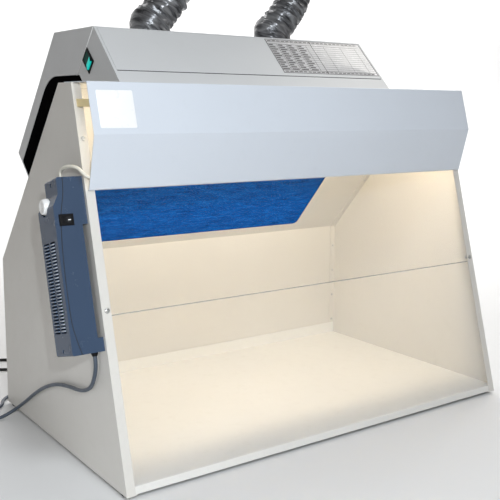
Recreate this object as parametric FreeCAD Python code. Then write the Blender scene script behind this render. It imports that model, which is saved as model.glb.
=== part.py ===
"""Bench fume extraction cabinet: folded sheet-steel work chamber with a lamp behind a front
visor, a fan and filter housing on its sloped back, two exhaust hoses and a lamp control box.

Millimetres, +Z up, +X to the right of someone working at it, +Y away from them. Pieces are
worked out in the cabinet's own lines, with x = 0 at its middle, y = 0 at its front lower
edge and z = 0 under its side panels, and every piece is moved by the same step when saved,
so that the origin is under the middle of the whole object.
"""
import FreeCAD, Part
import math
import os

os.makedirs("parts", exist_ok=True)
Vector = FreeCAD.Vector

# Cabinet outline, seen from the side
cabinet_width = 1000.0
cabinet_depth = 610.0
side_height = 729.0
top_front_y = 197.0
top_rear_y = 256.0
rear_edge_height = 339.0

# Sheet steel
sheet = 1.5
bend_radius = 1.2
flange_width = 18.0
bottom_flange_width = 22.0
floor_height = 15.0
tray_rear_upstand = 30.0
stiffener_width = 60.0
stiffener_places = (140.0, 430.0)

# Feet and fastenings
foot_height = 6.0
foot_radius = 10.0
foot_inset = 25.0
foot_straight_share = 0.6
foot_taper = 1.5
foot_hollow = (0.5, 0.4, 0.5)
screw_head_radius = 5.0
screw_head_height = 3.0
screw_radius = 2.4
screw_hole_clearance = 0.3
screw_inset = 10.4
nut_across_flats = 8.0
nut_height = 4.0
nut_sides = 6
screw_dome = ((1.0, 0.45), (0.8, 0.85), (0.45, 1.0))
screw_end_past_nut = 1.0
rivet_head_radius = 3.2
rivet_flat_share = 0.6
rivet_head_height = 1.1
rivet_radius = 1.6
rivets_on_back = (55.0, 130.0, 205.0, 280.0)
rivets_on_slope = (70.0, 200.0, 330.0, 460.0)

# Filter opening in the sloped panel: down the slope from its top bend, and inside the housing
filter_opening_top = 130.0
filter_opening_bottom_margin = 18.0
filter_opening_side_margin = 32.5
filter_opening_corner = 12.0

# Clear screen behind the front flanges, measured up the leaning front
screen_thickness = 5.0
screen_bottom = 323.0
screen_top_gap = 10.15
screen_side_gap = 1.5
screen_low_row_inset = 10.6
screen_high_row_inset = 95.0

# Visor, its outer bends as drops below the top and distances ahead of the front plane
visor_end_inset = 4.4
visor_top_lap = 43.0
visor_top_ahead = 57.7
visor_fold_drop = 92.8
visor_fold_ahead = 60.0
visor_bottom_drop = 193.2
visor_bottom_ahead = 6.5
visor_tab_height = 14.0
visor_tab_drop = 44.0
visor_tab_inset = 1.6
visor_tab_foot = 9.0

# Lamp behind the visor
lamp_end_space = 52.5
lamp_radius = 13.0
lamp_ahead = 27.9
lamp_drop = 41.0
lamp_cap_length = 12.0
lamp_holder_thickness = 12.0
lamp_holder_width = 30.0
batten_end_margin = 2.5
batten_ahead = 54.0
batten_width = 36.0
batten_height = 18.0
batten_wall = 1.0

# Housing on the slope: along the slope from its top bend, and square to the slope
housing_half_width = 369.5
housing_front_foot = 1.0
housing_ridge_along = -7.0
housing_split = 172.0
housing_depth = 327.0
housing_bottom = 517.0
housing_foot_flange = 15.0
window_bottom = 40.5
window_top = 169.0
window_side = 6.0
window_rim = 8.0
panel_gap = 0.5
panel_shadow_gap = 2.5
housing_screw_places = (-300.0, -100.0, 100.0, 300.0)
housing_screw_height = 196.0
housing_screw_length = 3.5

# Filters inside the housing
prefilter_thickness = 20.0
prefilter_lap = 8.0
filter_frame_wall = 1.5
cassette_wall = 4.0
cassette_front_margin = 12.0
cassette_bottom_gap = 4.0
cassette_rear_gap = 34.0
cassette_round = 110.0
cassette_end_gap = 0.5
cassette_side_gap = 1.5
cassette_rim = 30.0
cassette_outlet_radius = 74.0
core_thickness = 60.0

# Fans under the level top of the housing
fan_end_space = 194.5
fan_setback = 119.2
fan_top_gap = 8.4
fan_outer_radius = 85.0
fan_wall = 2.5
fan_height = 90.0
fan_foot_radius = 91.0
fan_foot_thickness = 2.0
motor_radius = 23.0
motor_height = 32.0
motor_lift = 3.0
motor_arm_width = 9.0
motor_arm_thickness = 4.0
shaft_radius = 3.0
running_gap = 0.05
impeller_lift = 3.0
impeller_radius = 72.0
impeller_hub_radius = 15.0
impeller_hub_height = 38.0
impeller_disc = 2.0
impeller_blade_height = 32.0
impeller_blade_inner = 32.0
impeller_blade_wall = 2.0
impeller_blade_lean = 35.0
impeller_blades = 10

# Exhaust spigots and hoses
spigot_radius = 42.0
spigot_wall = 2.0
spigot_rise = 26.0
spigot_flange_radius = 55.0
spigot_flange = 2.0
spigot_hole_gap = 0.5
hose_radius = 45.0
hose_wall = 2.6
clamp_gap = 0.2
clamp_wall = 1.2
clamp_width = 5.0
clamp_lift = 0.4
cuff_length = 50.0
cuff_wall = 4.0
cuff_flange_radius = 53.0
cuff_flange = 3.0

# Power rocker in the housing's end
power_switch_along = 63.5
power_switch_out = 146.5
power_switch_size = (44.0, 35.0)

# Lamp control box on the left side panel: x from the panel, q back from the leaning front, s up it
box_gap = 10.7
box_thickness = 51.2
box_top_thickness = 39.2
box_front = 8.0
box_depth = 75.0
box_top_depth = 57.0
box_bottom = 262.6
box_top = 582.5
box_shoulder_low = 530.0
box_shoulder_high = 552.0
box_wall = 2.5
box_corner = 4.0
split_margin = 20.0
split_top_inset = 12.0
split_top_drops = (25.0, 67.0, 140.0)
split_insets = (6.0, 5.0, 8.0, 24.0)
split_rises = (80.0, 38.0)
split_radii = (0, 0, 20, 40, 60, 60, 20, 0, 0)
box_pad_depth = 32.0
box_pad_low_top = 288.0
box_pad_high_bottom = 494.6
grille_bottom = 304.0
grille_slots = 28
grille_pitch = 6.0
grille_slot_height = 3.2
grille_columns = ((22.0, 45.0), (50.0, 76.0))
knob_q = 54.0
knob_s = 536.0
knob_radius = 15.5
knob_top_radius = 13.5
knob_height = 12.0
knob_skirt_share = 0.3
knob_edge = 1.2
knob_dish = (0.62, 0.55, 0.8)
knob_top_wall = 2.0
knob_gap = 0.5
knob_seat = 53.0
knob_boss_radius = 19.0
knob_boss_wall = 3.0
control_radius = 10.0
control_depth = 14.0
control_bush_radius = 4.5
control_bush_length = 4.0
control_shaft_length = 9.5
lamp_switch_x = 40.3
lamp_switch_s = 504.5
lamp_switch_size = (27.5, 21.0)
case_screws = ((48.0, 272.0), (36.0, 572.0))
case_screw_head_radius = 3.0
case_screw_head_height = 2.0
case_screw_radius = 1.4
case_screw_length = 14.0
case_screw_sink = 3.5
case_screw_boss = (2.5, 9.0)
case_screw_room = 0.5
bush_room = 0.2
lamp_switch_seat = (1.8, 2.2)
lead_exit_x = 14.0
lead_exit_q = 24.0
cable_exit_x = 28.0
cable_exit_q = 40.0
board_wall = 1.6
board_stand = 4.0
board_edge_gap = 8.0
board_foot = 37.4
board_depth = 60.0
board_length = 170.0
board_post_inset = 7.0
board_post_radius = 3.0
choke_size = (38.0, 52.0, 28.0)
transformer_size = (34.0, 36.0, 22.0)
large_capacitor = (9.0, 24.0)
small_capacitor = (7.0, 20.0)
capacitor_place = 144.0

# Leads
lamp_lead_diameter = 7.5
mains_lead_diameter = 7.0
lamp_cable_diameter = 6.5
gland_collar_radius = 6.5
mains_gland_collar = 5.0
mains_gland_sleeve = 15.0
lamp_gland_collar = 3.0
lamp_gland_sleeve = 4.0
gland_sleeve_top_radius = 5.6
gland_step = 0.5
gland_wall = 0.9
plug_body = (34.0, 48.0, 22.0)
plug_corner = 5.0
plug_sleeve = 20.0
plug_sleeve_radius = 8.0
plug_pin = (18.0, 6.3, 4.0)
plug_earth_pin = (22.0, 4.0, 8.0)
plug_pin_spread = 11.0
coil_turn_diameters = 11.0
coil_tail = 40.0

half_width = cabinet_width / 2
lean = math.atan2(top_front_y, side_height)
screen_top = math.hypot(top_front_y, side_height) - screen_top_gap
screen_screw_rows = (screen_bottom + screen_low_row_inset, screen_top - screen_high_row_inset)
visor_half_length = half_width - visor_end_inset
slope_length = math.hypot(cabinet_depth - top_rear_y, side_height - rear_edge_height)
slope_y = (cabinet_depth - top_rear_y) / slope_length
slope_z = (side_height - rear_edge_height) / slope_length


def front_point(q, s):
    """(y, z) of a place q behind the leaning front plane and s up it."""
    return (q * math.cos(lean) + s * math.sin(lean), s * math.cos(lean) - q * math.sin(lean))


def slope_point(along, out):
    """(y, z) of a place down the slope from its top bend, and out square to it."""
    y = top_rear_y + slope_y * along + slope_z * out
    z = side_height - slope_z * along + slope_y * out
    return (y, z)


def front_y(z):
    """y of the leaning front plane at height z."""
    return z * math.tan(lean)


def along_at(z, out):
    """How far down the slope a line at out above it comes to the height z."""
    return (side_height + slope_y * out - z) / slope_z


def unit(a, b):
    """Unit vector from a to b, in a plane."""
    d = math.hypot(b[0] - a[0], b[1] - a[1])
    return ((b[0] - a[0]) / d, (b[1] - a[1]) / d)


def offset_line(points, distance):
    """An open line of points moved to its left by distance, with its corners mitred."""
    rows = []
    for a, b in zip(points, points[1:]):
        e = unit(a, b)
        rows.append(((a[0] - e[1] * distance, a[1] + e[0] * distance), e,
            (b[0] - e[1] * distance, b[1] + e[0] * distance)))
    moved = [rows[0][0]]
    for (p, e, _), (r, g, _) in zip(rows, rows[1:]):
        cross = e[0] * g[1] - e[1] * g[0]
        t = ((r[0] - p[0]) * g[1] - (r[1] - p[1]) * g[0]) / cross
        moved.append((p[0] + e[0] * t, p[1] + e[1] * t))
    moved.append(rows[-1][2])
    return moved


def rounded_wire(points, radii):
    """A closed wire through 3D points, with a tangent arc of its own radius at each corner."""
    edges = []
    ends = []
    count = len(points)
    for i, p in enumerate(points):
        before = (points[i - 1] - p).normalize()
        after = (points[(i + 1) % count] - p).normalize()
        r = radii[i]
        if r <= 0:
            ends.append((p, p))
            continue
        half = before.getAngle(after) / 2
        reach = r / math.tan(half)
        middle = (before + after).normalize() * (r / math.sin(half) - r)
        ends.append((p + before * reach, p + after * reach))
        edges.append(Part.Arc(ends[-1][0], p + middle, ends[-1][1]).toShape())
    for i in range(count):
        start = ends[i][1]
        end = ends[(i + 1) % count][0]
        if start.distanceToPoint(end) > 1e-6:
            edges.append(Part.LineSegment(start, end).toShape())
    return Part.Wire(Part.sortEdges(edges)[0])


def prism(points, x_low, x_high, radii=None):
    """A (y, z) outline drawn out along X."""
    corners = [Vector(x_low, y, z) for y, z in points]
    if radii is None:
        wire = Part.makePolygon(corners + corners[:1])
    else:
        wire = rounded_wire(corners, radii)
    return Part.Face(wire).extrude(Vector(x_high - x_low, 0, 0))


def folded(points, thickness, x_low, x_high):
    """A sheet bent along a line of (y, z) points, with its thickness to the left."""
    near = [0.0]
    far = [0.0]
    for a, b, c in zip(points, points[1:], points[2:]):
        turns_left = (b[0] - a[0]) * (c[1] - b[1]) > (b[1] - a[1]) * (c[0] - b[0])
        inside_is_far = turns_left == (thickness > 0)
        near.append(bend_radius + abs(thickness) if inside_is_far else bend_radius)
        far.append(bend_radius if inside_is_far else bend_radius + abs(thickness))
    radii = near + [0.0] + [0.0] + far[::-1][:-1] + [0.0]
    return prism(points + offset_line(points, thickness)[::-1], x_low, x_high, radii)


def on_slope(corners, x_low, x_high, radii=None):
    """An (along, out) outline on the slope drawn out along X."""
    return prism([slope_point(a, o) for a, o in corners], x_low, x_high, radii)


def on_front(x_low, x_high, q_low, q_high, s_low, s_high):
    """A block square to the leaning front."""
    corners = ((q_low, s_low), (q_high, s_low), (q_high, s_high), (q_low, s_high))
    return prism([front_point(q, s) for q, s in corners], x_low, x_high)


def block(x_low, x_high, y_low, y_high, z_low, z_high):
    """A block square to the axes."""
    return Part.makeBox(x_high - x_low, y_high - y_low, z_high - z_low, Vector(x_low, y_low, z_low))


def rod(radius, length, start, direction):
    """A round bar from start."""
    return Part.makeCylinder(radius, length, start, direction)


def ring(outer, inner, length, start, direction):
    """A round tube from start."""
    over = direction * 1.0
    return rod(outer, length, start, direction).cut(rod(inner, length + 2.0, start - over, direction))


def turned(outline, start, direction):
    """A (radius, height) outline turned about a line."""
    corners = [Vector(r, 0, h) for r, h in outline]
    solid = Part.Face(Part.makePolygon(corners + corners[:1])).revolve(Vector(0, 0, 0),
        Vector(0, 0, 1), 360)
    solid.Placement = FreeCAD.Placement(start, FreeCAD.Rotation(Vector(0, 0, 1), direction))
    return solid


def joined(shapes):
    """One solid from pieces that meet."""
    result = shapes[0].multiFuse(shapes[1:]) if len(shapes) > 1 else shapes[0]
    return result.removeSplitter()


def mirrored(shape):
    """The same shape on the other side of the cabinet."""
    return shape.mirror(Vector(0, 0, 0), Vector(1, 0, 0))


FRONT_OUT = Vector(0, -math.cos(lean), math.sin(lean))
FRONT_UP = Vector(0, math.sin(lean), math.cos(lean))
SLOPE_DOWN = Vector(0, slope_y, -slope_z)
SLOPE_OUT = Vector(0, slope_z, slope_y)
LEFT = Vector(-1, 0, 0)
RIGHT = Vector(1, 0, 0)
UP = Vector(0, 0, 1)
BACK = Vector(0, 1, 0)


def at_front(x, q, s):
    """3D point from x and a place on the leaning front."""
    return Vector(x, *front_point(q, s))


def at_slope(x, along, out):
    """3D point from x and a place on the slope."""
    return Vector(x, *slope_point(along, out))


filter_opening_bottom = housing_bottom - filter_opening_bottom_margin
filter_opening_half_width = housing_half_width - filter_opening_side_margin
lamp_length = 2 * (half_width - lamp_end_space)
ridge_y, ridge_z = slope_point(housing_ridge_along, housing_split)
fan_y = ridge_y + fan_setback
cassette_top_z = ridge_z - fan_top_gap - fan_height
cassette_front = filter_opening_top - cassette_front_margin
cassette_depth = housing_depth - cassette_rear_gap
fan_offset = housing_half_width - fan_end_space
box_outer_x = -(half_width + box_gap + box_thickness)
knob_seat_x = -(half_width + knob_seat)
knob_face_x = knob_seat_x - knob_gap - knob_height

# The step that puts the origin under the middle of everything but the leads and hoses
x_low = min(box_outer_x, knob_face_x)
y_high = slope_point(housing_bottom, housing_depth)[0]
shift = Vector(-(x_low + half_width) / 2, -y_high / 2, foot_height)


def save(name, shapes):
    """Move a node's solids by the common step and write them."""
    solids = [s for shape in shapes for s in shape.Solids]
    for s in solids:
        assert s.isValid(), name
    whole = solids[0] if len(solids) == 1 else Part.makeCompound(solids)
    whole = whole.copy()
    whole.translate(shift)
    whole.exportStep("parts/" + name + ".step")
    print(name, len(solids), "solids, volume", round(sum(s.Volume for s in solids)))


# Side panels: each one sheet with its front, bottom, back, slope and top edges turned inwards
front_foot = (0.0, 0.0)
rear_line = [(cabinet_depth, 0.0), (cabinet_depth, rear_edge_height), (top_rear_y, side_height),
    (top_front_y, side_height)]
skin_line = offset_line(rear_line, sheet)
under_skin = side_height - sheet
skin_line[-1] = (front_y(under_skin), under_skin)
flange_line = offset_line(rear_line, 2 * sheet)
flange_line[-1] = (front_y(under_skin - sheet) + 2 * sheet, under_skin - sheet)
front_run = sheet / math.cos(lean)
plate_inner = half_width - sheet
plate = prism([front_foot] + skin_line, -half_width, -plate_inner)
front_flange = prism(
    [front_foot, (front_run, 0.0), (front_y(under_skin) + front_run, under_skin),
        (front_y(under_skin), under_skin)],
    -plate_inner, -half_width + flange_width)
flange_top = [(front_y(under_skin) + front_run, under_skin),
    (front_y(under_skin) + front_run, under_skin - sheet)]
edge_outline = skin_line[:-1] + flange_top + flange_line[::-1][1:]
rear_flange = prism(edge_outline, -plate_inner, -half_width + flange_width)
bottom_flange = prism(
    [(front_run, 0.0), (flange_line[0][0], 0.0), (flange_line[0][0], sheet), (front_run, sheet)],
    -plate_inner, -half_width + bottom_flange_width)
left_side = joined([plate, front_flange, rear_flange, bottom_flange])

screw_x = half_width - screw_inset
rivet_x = half_width - flange_width / 2
rivet_places = [(Vector(-rivet_x, flange_line[0][0], z), BACK) for z in rivets_on_back]
rivet_places += [(at_slope(-rivet_x, a, -2 * sheet), SLOPE_OUT) for a in rivets_on_slope]
rivets = []
for place, direction in rivet_places:
    head = turned(((0, 0), (rivet_head_radius, 0),
        (rivet_head_radius * rivet_flat_share, rivet_head_height),
        (0, rivet_head_height)), place, -direction)
    rivets.append(joined([head, rod(rivet_radius, 2 * sheet, place, direction)]))
rivet_holes = [rod(rivet_radius, 4 * sheet, p - d * sheet, d) for p, d in rivet_places]
screw_holes = [
    rod(screw_radius + screw_hole_clearance, 4 * screen_thickness,
        at_front(-screw_x, -screen_thickness, s), -FRONT_OUT)
    for s in screen_screw_rows]
left_side = left_side.cut(rivet_holes + screw_holes)
save("left_side_panel", [left_side])
save("right_side_panel", [mirrored(left_side)])
save("panel_rivets", rivets + [mirrored(r) for r in rivets])

# Base tray: front lip behind the flanges, floor, and an upstand against the back flanges
lip_foot = sheet
tray_line = [
    (front_y(lip_foot) + front_run, lip_foot),
    (front_y(floor_height) + front_run, floor_height),
    (flange_line[0][0] - sheet, floor_height),
    (flange_line[0][0] - sheet, floor_height + tray_rear_upstand)]
save("base_tray", [folded(tray_line, -sheet, -plate_inner, plate_inner)])

# Channels under the floor, standing on the bottom flanges
stiffeners = []
for y in stiffener_places:
    channel = [(y, floor_height - sheet), (y, sheet), (y + stiffener_width, sheet),
        (y + stiffener_width, floor_height - sheet)]
    stiffeners.append(folded(channel, sheet, -plate_inner + screen_side_gap,
        plate_inner - screen_side_gap))
save("floor_stiffeners", stiffeners)

# Moulded feet under the bottom flanges
feet = []
for x in (-half_width + foot_radius + sheet, half_width - foot_radius - sheet):
    for y in (foot_inset, cabinet_depth - foot_inset):
        outline = (
            (0, 0), (foot_radius, 0), (foot_radius, -foot_straight_share * foot_height),
            (foot_radius - foot_taper, -foot_height),
            (foot_hollow[0] * foot_radius, -foot_height),
            (foot_hollow[1] * foot_radius, -foot_hollow[2] * foot_height),
            (0, -foot_hollow[2] * foot_height))
        feet.append(turned(outline, Vector(x, y, 0), UP))
save("rubber_feet", feet)

# Back, sloped and top panels, mitred where they meet and riveted to the side flanges
both_rivet_holes = rivet_holes + [mirrored(h) for h in rivet_holes]
back_panel = prism([rear_line[0], rear_line[1], skin_line[1], skin_line[0]], -half_width, half_width)
save("back_panel", [back_panel.cut(both_rivet_holes)])
sloped_panel = prism([rear_line[1], rear_line[2], skin_line[2], skin_line[1]], -half_width, half_width)
filter_hole = block(-filter_opening_half_width, filter_opening_half_width, filter_opening_top,
    filter_opening_bottom, -20, 20)
upright = [e for e in filter_hole.Edges if abs(e.tangentAt(e.FirstParameter).z) > 0.99]
filter_hole = filter_hole.makeFillet(filter_opening_corner, upright)
filter_hole.Placement = FreeCAD.Placement(at_slope(0, 0, 0),
    FreeCAD.Rotation(RIGHT, SLOPE_DOWN, RIGHT.cross(SLOPE_DOWN), "ZXY"))
save("sloped_rear_panel", [sloped_panel.cut([filter_hole] + both_rivet_holes)])
top_plate = prism([rear_line[2], rear_line[3], skin_line[3], skin_line[2]], -half_width, half_width)
save("top_plate", [top_plate])

# Visor: one sheet from the top plate forwards, down in a shallow V, and back to the flanges
visor_top_z = side_height + sheet
visor_fold = (front_y(side_height - visor_fold_drop) - visor_fold_ahead, side_height - visor_fold_drop)
visor_bottom = (front_y(side_height - visor_bottom_drop) - visor_bottom_ahead,
    side_height - visor_bottom_drop)
visor_return = visor_bottom[0] * math.cos(lean) - visor_bottom[1] * math.sin(lean)
visor_line = [
    (top_front_y + visor_top_lap, visor_top_z),
    (top_front_y - visor_top_ahead, visor_top_z),
    visor_fold,
    visor_bottom,
    (visor_bottom[0] - visor_return * math.cos(lean), visor_bottom[1] + visor_return * math.sin(lean))]
save("front_visor", [folded(visor_line, sheet, -visor_half_length, visor_half_length)])

# Tabs between the flanges and the visor's upper face
visor_inner = offset_line(visor_line, sheet)
visor_lean = (visor_inner[1][0] - visor_inner[2][0]) / (visor_inner[1][1] - visor_inner[2][1])


def visor_inner_y(z):
    """y of the inside of the visor's upper face at height z."""
    return visor_inner[2][0] + (z - visor_inner[2][1]) * visor_lean


tab_low = side_height - visor_tab_drop
tab_high = tab_low + visor_tab_height
tab_x = -visor_half_length + visor_tab_inset
tab = prism(
    [(visor_inner_y(tab_low), tab_low), (front_y(tab_low), tab_low), (front_y(tab_high), tab_high),
        (visor_inner_y(tab_high), tab_high)],
    tab_x, tab_x + sheet)
tab_foot = prism(
    [(front_y(tab_low) - front_run, tab_low), (front_y(tab_low), tab_low),
        (front_y(tab_high), tab_high), (front_y(tab_high) - front_run, tab_high)],
    tab_x + sheet, tab_x + sheet + visor_tab_foot)
left_tab = joined([tab, tab_foot])
save("visor_tabs", [left_tab, mirrored(left_tab)])

# Clear screen, with its screws through the flanges and nuts behind
both_screw_holes = screw_holes + [mirrored(h) for h in screw_holes]
screen_half = plate_inner - screen_side_gap
screen = on_front(-screen_half, screen_half, sheet, sheet + screen_thickness, screen_bottom, screen_top)
save("clear_screen", [screen.cut(both_screw_holes)])
screws = []
nuts = []
for s in screen_screw_rows:
    seat = at_front(-screw_x, 0, s)
    dome = [(r * screw_head_radius, h * screw_head_height) for r, h in screw_dome]
    head_outline = [(0, 0), (screw_head_radius, 0)] + dome + [(0, screw_head_height)]
    head = turned(head_outline, seat, FRONT_OUT)
    shank = rod(screw_radius, sheet + screen_thickness + nut_height + screw_end_past_nut, seat,
        -FRONT_OUT)
    screws.append(joined([head, shank]))
    corners = []
    for k in range(nut_sides):
        angle = 2 * math.pi * k / nut_sides
        r = nut_across_flats / 2 / math.cos(math.pi / nut_sides)
        corners.append(at_front(-screw_x + r * math.cos(angle), sheet + screen_thickness,
            s + r * math.sin(angle)))
    nut = Part.Face(Part.makePolygon(corners + corners[:1])).extrude(-FRONT_OUT * nut_height)
    nuts.append(nut.cut(rod(screw_radius, 4 * nut_height, at_front(-screw_x, 0, s), -FRONT_OUT)))
save("screen_screws", screws + [mirrored(s) for s in screws])
save("screen_nuts", nuts + [mirrored(n) for n in nuts])

# Lamp: channel under the visor's top, a holder at each end and the tube between them
batten_top = side_height
batten_low = batten_top - batten_height
batten_front_y = top_front_y - batten_ahead
batten_rear_y = batten_front_y + batten_width
batten_half_length = lamp_length / 2 + lamp_holder_thickness + batten_end_margin
batten_line = [(batten_rear_y, batten_top), (batten_rear_y, batten_low), (batten_front_y, batten_low),
    (batten_front_y, batten_top)]
save("lamp_batten", [folded(batten_line, -batten_wall, -batten_half_length, batten_half_length)])
lamp_z = side_height - lamp_drop
lamp_y = front_y(lamp_z) - lamp_ahead
holder_inner = lamp_length / 2
holder_line = [
    (lamp_y - lamp_holder_width / 2, batten_low),
    (lamp_y - lamp_holder_width / 2, lamp_z - lamp_radius - 2),
    (lamp_y + lamp_holder_width / 2, lamp_z - lamp_radius - 2),
    (lamp_y + lamp_holder_width / 2, batten_low)]
holder = prism(holder_line, holder_inner, holder_inner + lamp_holder_thickness, (0, 9, 9, 0))
cable_turn = Vector(-holder_inner - lamp_holder_thickness - 5.0, lamp_y, lamp_z - lamp_radius + 6)
cable_end = Vector(-holder_inner - lamp_holder_thickness, lamp_y, lamp_z + 2)
cable_aim = (cable_end - cable_turn).normalize()
cable_seat = rod(lamp_cable_diameter / 2 + 0.35, 20, cable_end - cable_aim * 14, cable_aim)
save("lamp_holders", [mirrored(holder).cut(cable_seat), holder])
glass = rod(lamp_radius - 0.4, lamp_length - 2 * lamp_cap_length,
    Vector(-lamp_length / 2 + lamp_cap_length, lamp_y, lamp_z), RIGHT)
caps = [
    rod(lamp_radius, lamp_cap_length, Vector(-lamp_length / 2, lamp_y, lamp_z), RIGHT),
    rod(lamp_radius, lamp_cap_length, Vector(lamp_length / 2 - lamp_cap_length, lamp_y, lamp_z), RIGHT)]
save("lamp_tube", [joined([glass] + caps)])

# Filter cassette outline: level top, rounded over to the face along the slope
cassette_low = prefilter_thickness + cassette_bottom_gap / 2
cassette_bottom = housing_bottom - 2 * sheet - 1.0


def cassette_outline(shrink):
    """The cassette's (along, out) corners, drawn in all round."""
    top = cassette_top_z - shrink
    front = cassette_front + shrink
    out = cassette_depth - shrink
    front_out = (top - side_height + slope_z * front) / slope_y
    return [
        (front, cassette_low + shrink),
        (front, front_out),
        (along_at(top, out), out),
        (cassette_bottom - shrink, out),
        (cassette_bottom - shrink, cassette_low + shrink)]


def cassette_solid(shrink, x_low_end, x_high_end):
    """The cassette's outer shape, or its hollow."""
    return on_slope(cassette_outline(shrink), x_low_end, x_high_end,
        (0, 6, cassette_round - shrink, 6, 0))


cassette_left = -housing_half_width + cassette_end_gap
cassette_right = housing_half_width - sheet - cassette_side_gap
cassette = cassette_solid(0, cassette_left, cassette_right)
cassette = cassette.cut(cassette_solid(cassette_wall, cassette_left + cassette_wall,
    cassette_right - cassette_wall))
inlet = on_slope(
    ((cassette_front + cassette_rim, cassette_low - 1),
        (cassette_front + cassette_rim, cassette_low + cassette_wall + 1),
     (cassette_bottom - cassette_rim, cassette_low + cassette_wall + 1),
     (cassette_bottom - cassette_rim, cassette_low - 1)),
    cassette_left + cassette_rim + cassette_wall, cassette_right - cassette_rim - cassette_wall)
outlets = [rod(cassette_outlet_radius, 3 * cassette_wall,
    Vector(x, fan_y, cassette_top_z - 2 * cassette_wall), UP) for x in (-fan_offset, fan_offset)]
cassette = cassette.cut([inlet] + outlets)
save("filter_cassette", [cassette])
core_low = cassette_low + cassette_wall
core = on_slope(
    ((cassette_front + cassette_wall + 1, core_low),
        (cassette_front + cassette_wall + 1, core_low + core_thickness),
     (cassette_bottom - cassette_wall - 1, core_low + core_thickness),
     (cassette_bottom - cassette_wall - 1, core_low)),
    cassette_left + cassette_wall + 1, cassette_right - cassette_wall - 1)
save("carbon_core", [core])

# Housing, lower box: front with a window, two ends and the bottom end, standing on the slope


def housing_front(out):
    """How far along the slope the front of the housing is, at out above it."""
    return housing_front_foot + (housing_ridge_along - housing_front_foot) * out / housing_split


def box_section(inset, out_low, out_high):
    """The lower box's section, drawn in from its front and bottom end."""
    return (
        (housing_front(out_low) + inset, out_low), (housing_front(out_high) + inset, out_high),
        (housing_bottom - inset, out_high), (housing_bottom - inset, out_low))


lower_box = on_slope(box_section(0, 0, housing_split), -housing_half_width, housing_half_width)
lower_box = lower_box.cut(on_slope(box_section(sheet, -10, housing_split + 10),
    -housing_half_width + sheet, housing_half_width - sheet))
foot_ring = on_slope(box_section(sheet, 0, sheet), -housing_half_width + sheet,
    housing_half_width - sheet)
foot_hole = on_slope(
    ((housing_foot_flange + sheet, -1), (housing_foot_flange + sheet, sheet + 1),
     (cassette_bottom - 2 * sheet, sheet + 1), (cassette_bottom - 2 * sheet, -1)),
    -housing_half_width + sheet + housing_foot_flange, housing_half_width - sheet - housing_foot_flange)
window_half = housing_half_width - window_side


def front_strip(inset, thickness, out_low, out_high, half):
    """A flat piece parallel to the housing's front."""
    return on_slope(
        ((housing_front(out_low) + inset, out_low), (housing_front(out_high) + inset, out_high),
         (housing_front(out_high) + inset + thickness, out_high),
         (housing_front(out_low) + inset + thickness, out_low)),
        -half, half)


rim = front_strip(sheet, sheet, window_bottom - window_rim, window_top - sheet,
    window_half + window_side - sheet)
rim = rim.cut(front_strip(sheet - 1, sheet + 2, window_bottom + window_rim, window_top - window_rim,
    window_half - window_rim))
window = front_strip(-5, 5 + sheet, window_bottom, window_top, window_half)
end_gap = 1.0
end_opening = cassette_solid(-end_gap, -housing_half_width - 2, -housing_half_width + sheet + 0.1)
lower_box = joined([lower_box.cut(window), foot_ring.cut(foot_hole), rim])
switch_hole_half = (power_switch_size[0] / 2 - 1.9, power_switch_size[1] / 2 - 2.3)
switch_hole = on_slope(
    ((power_switch_along - switch_hole_half[1], power_switch_out - switch_hole_half[0]),
     (power_switch_along - switch_hole_half[1], power_switch_out + switch_hole_half[0]),
     (power_switch_along + switch_hole_half[1], power_switch_out + switch_hole_half[0]),
     (power_switch_along + switch_hole_half[1], power_switch_out - switch_hole_half[0])),
    -housing_half_width - 2, -housing_half_width + sheet + 2)
mains_exit_x = -300.0
mains_exit_out = 120.0
mains_hole = rod(gland_sleeve_top_radius, 6 * sheet,
    at_slope(mains_exit_x, housing_bottom - 4 * sheet, mains_exit_out), SLOPE_DOWN)
save("housing_lower_box", [lower_box.cut([end_opening, switch_hole, mains_hole])])
front_panel = front_strip(0, sheet, window_bottom + panel_shadow_gap, window_top - panel_gap,
    window_half - panel_gap)
save("housing_front_panel", [front_panel])

# Housing, rear cover: level top, long face along the slope, bottom end and two cheeks
ridge = slope_point(housing_ridge_along, housing_split)
cover_line = [
    ridge,
    slope_point(along_at(ridge_z, housing_depth), housing_depth),
    slope_point(housing_bottom, housing_depth),
    slope_point(housing_bottom, housing_split)]
outer_bend = bend_radius + sheet
cover = prism(cover_line, -housing_half_width, housing_half_width, (0, outer_bend, outer_bend, 0))
cover_inner = offset_line(cover_line, -sheet)
cavity = cover_inner + [slope_point(housing_bottom - sheet, housing_split - 20),
    slope_point(0, housing_split - 20)]
cavity_bends = (0, bend_radius, bend_radius, 0, 0, 0)
cover = cover.cut(prism(cavity, -housing_half_width + sheet, housing_half_width - sheet, cavity_bends))
spigot_holes = [rod(spigot_radius + spigot_hole_gap, 6 * sheet, Vector(x, fan_y, ridge_z - 4 * sheet),
    UP) for x in (-fan_offset, fan_offset)]
cover_screw_seats = [at_slope(x, housing_bottom, housing_screw_height) for x in housing_screw_places]
cover_screw_holes = [rod(screw_radius, 4 * sheet, p - SLOPE_DOWN * 3 * sheet, SLOPE_DOWN)
    for p in cover_screw_seats]
save("housing_rear_cover", [cover.cut([end_opening] + spigot_holes + cover_screw_holes)])
cover_screws = []
for seat in cover_screw_seats:
    head = turned(head_outline, seat, SLOPE_DOWN)
    cover_screws.append(joined([head, rod(screw_radius, housing_screw_length, seat, -SLOPE_DOWN)]))
save("housing_screws", cover_screws)

# Blue fibre prefilter over the opening, in a folded frame under the cassette
pad_low = filter_opening_top - prefilter_lap
pad_high = filter_opening_bottom + prefilter_lap
pad_half = filter_opening_half_width + prefilter_lap


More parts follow.
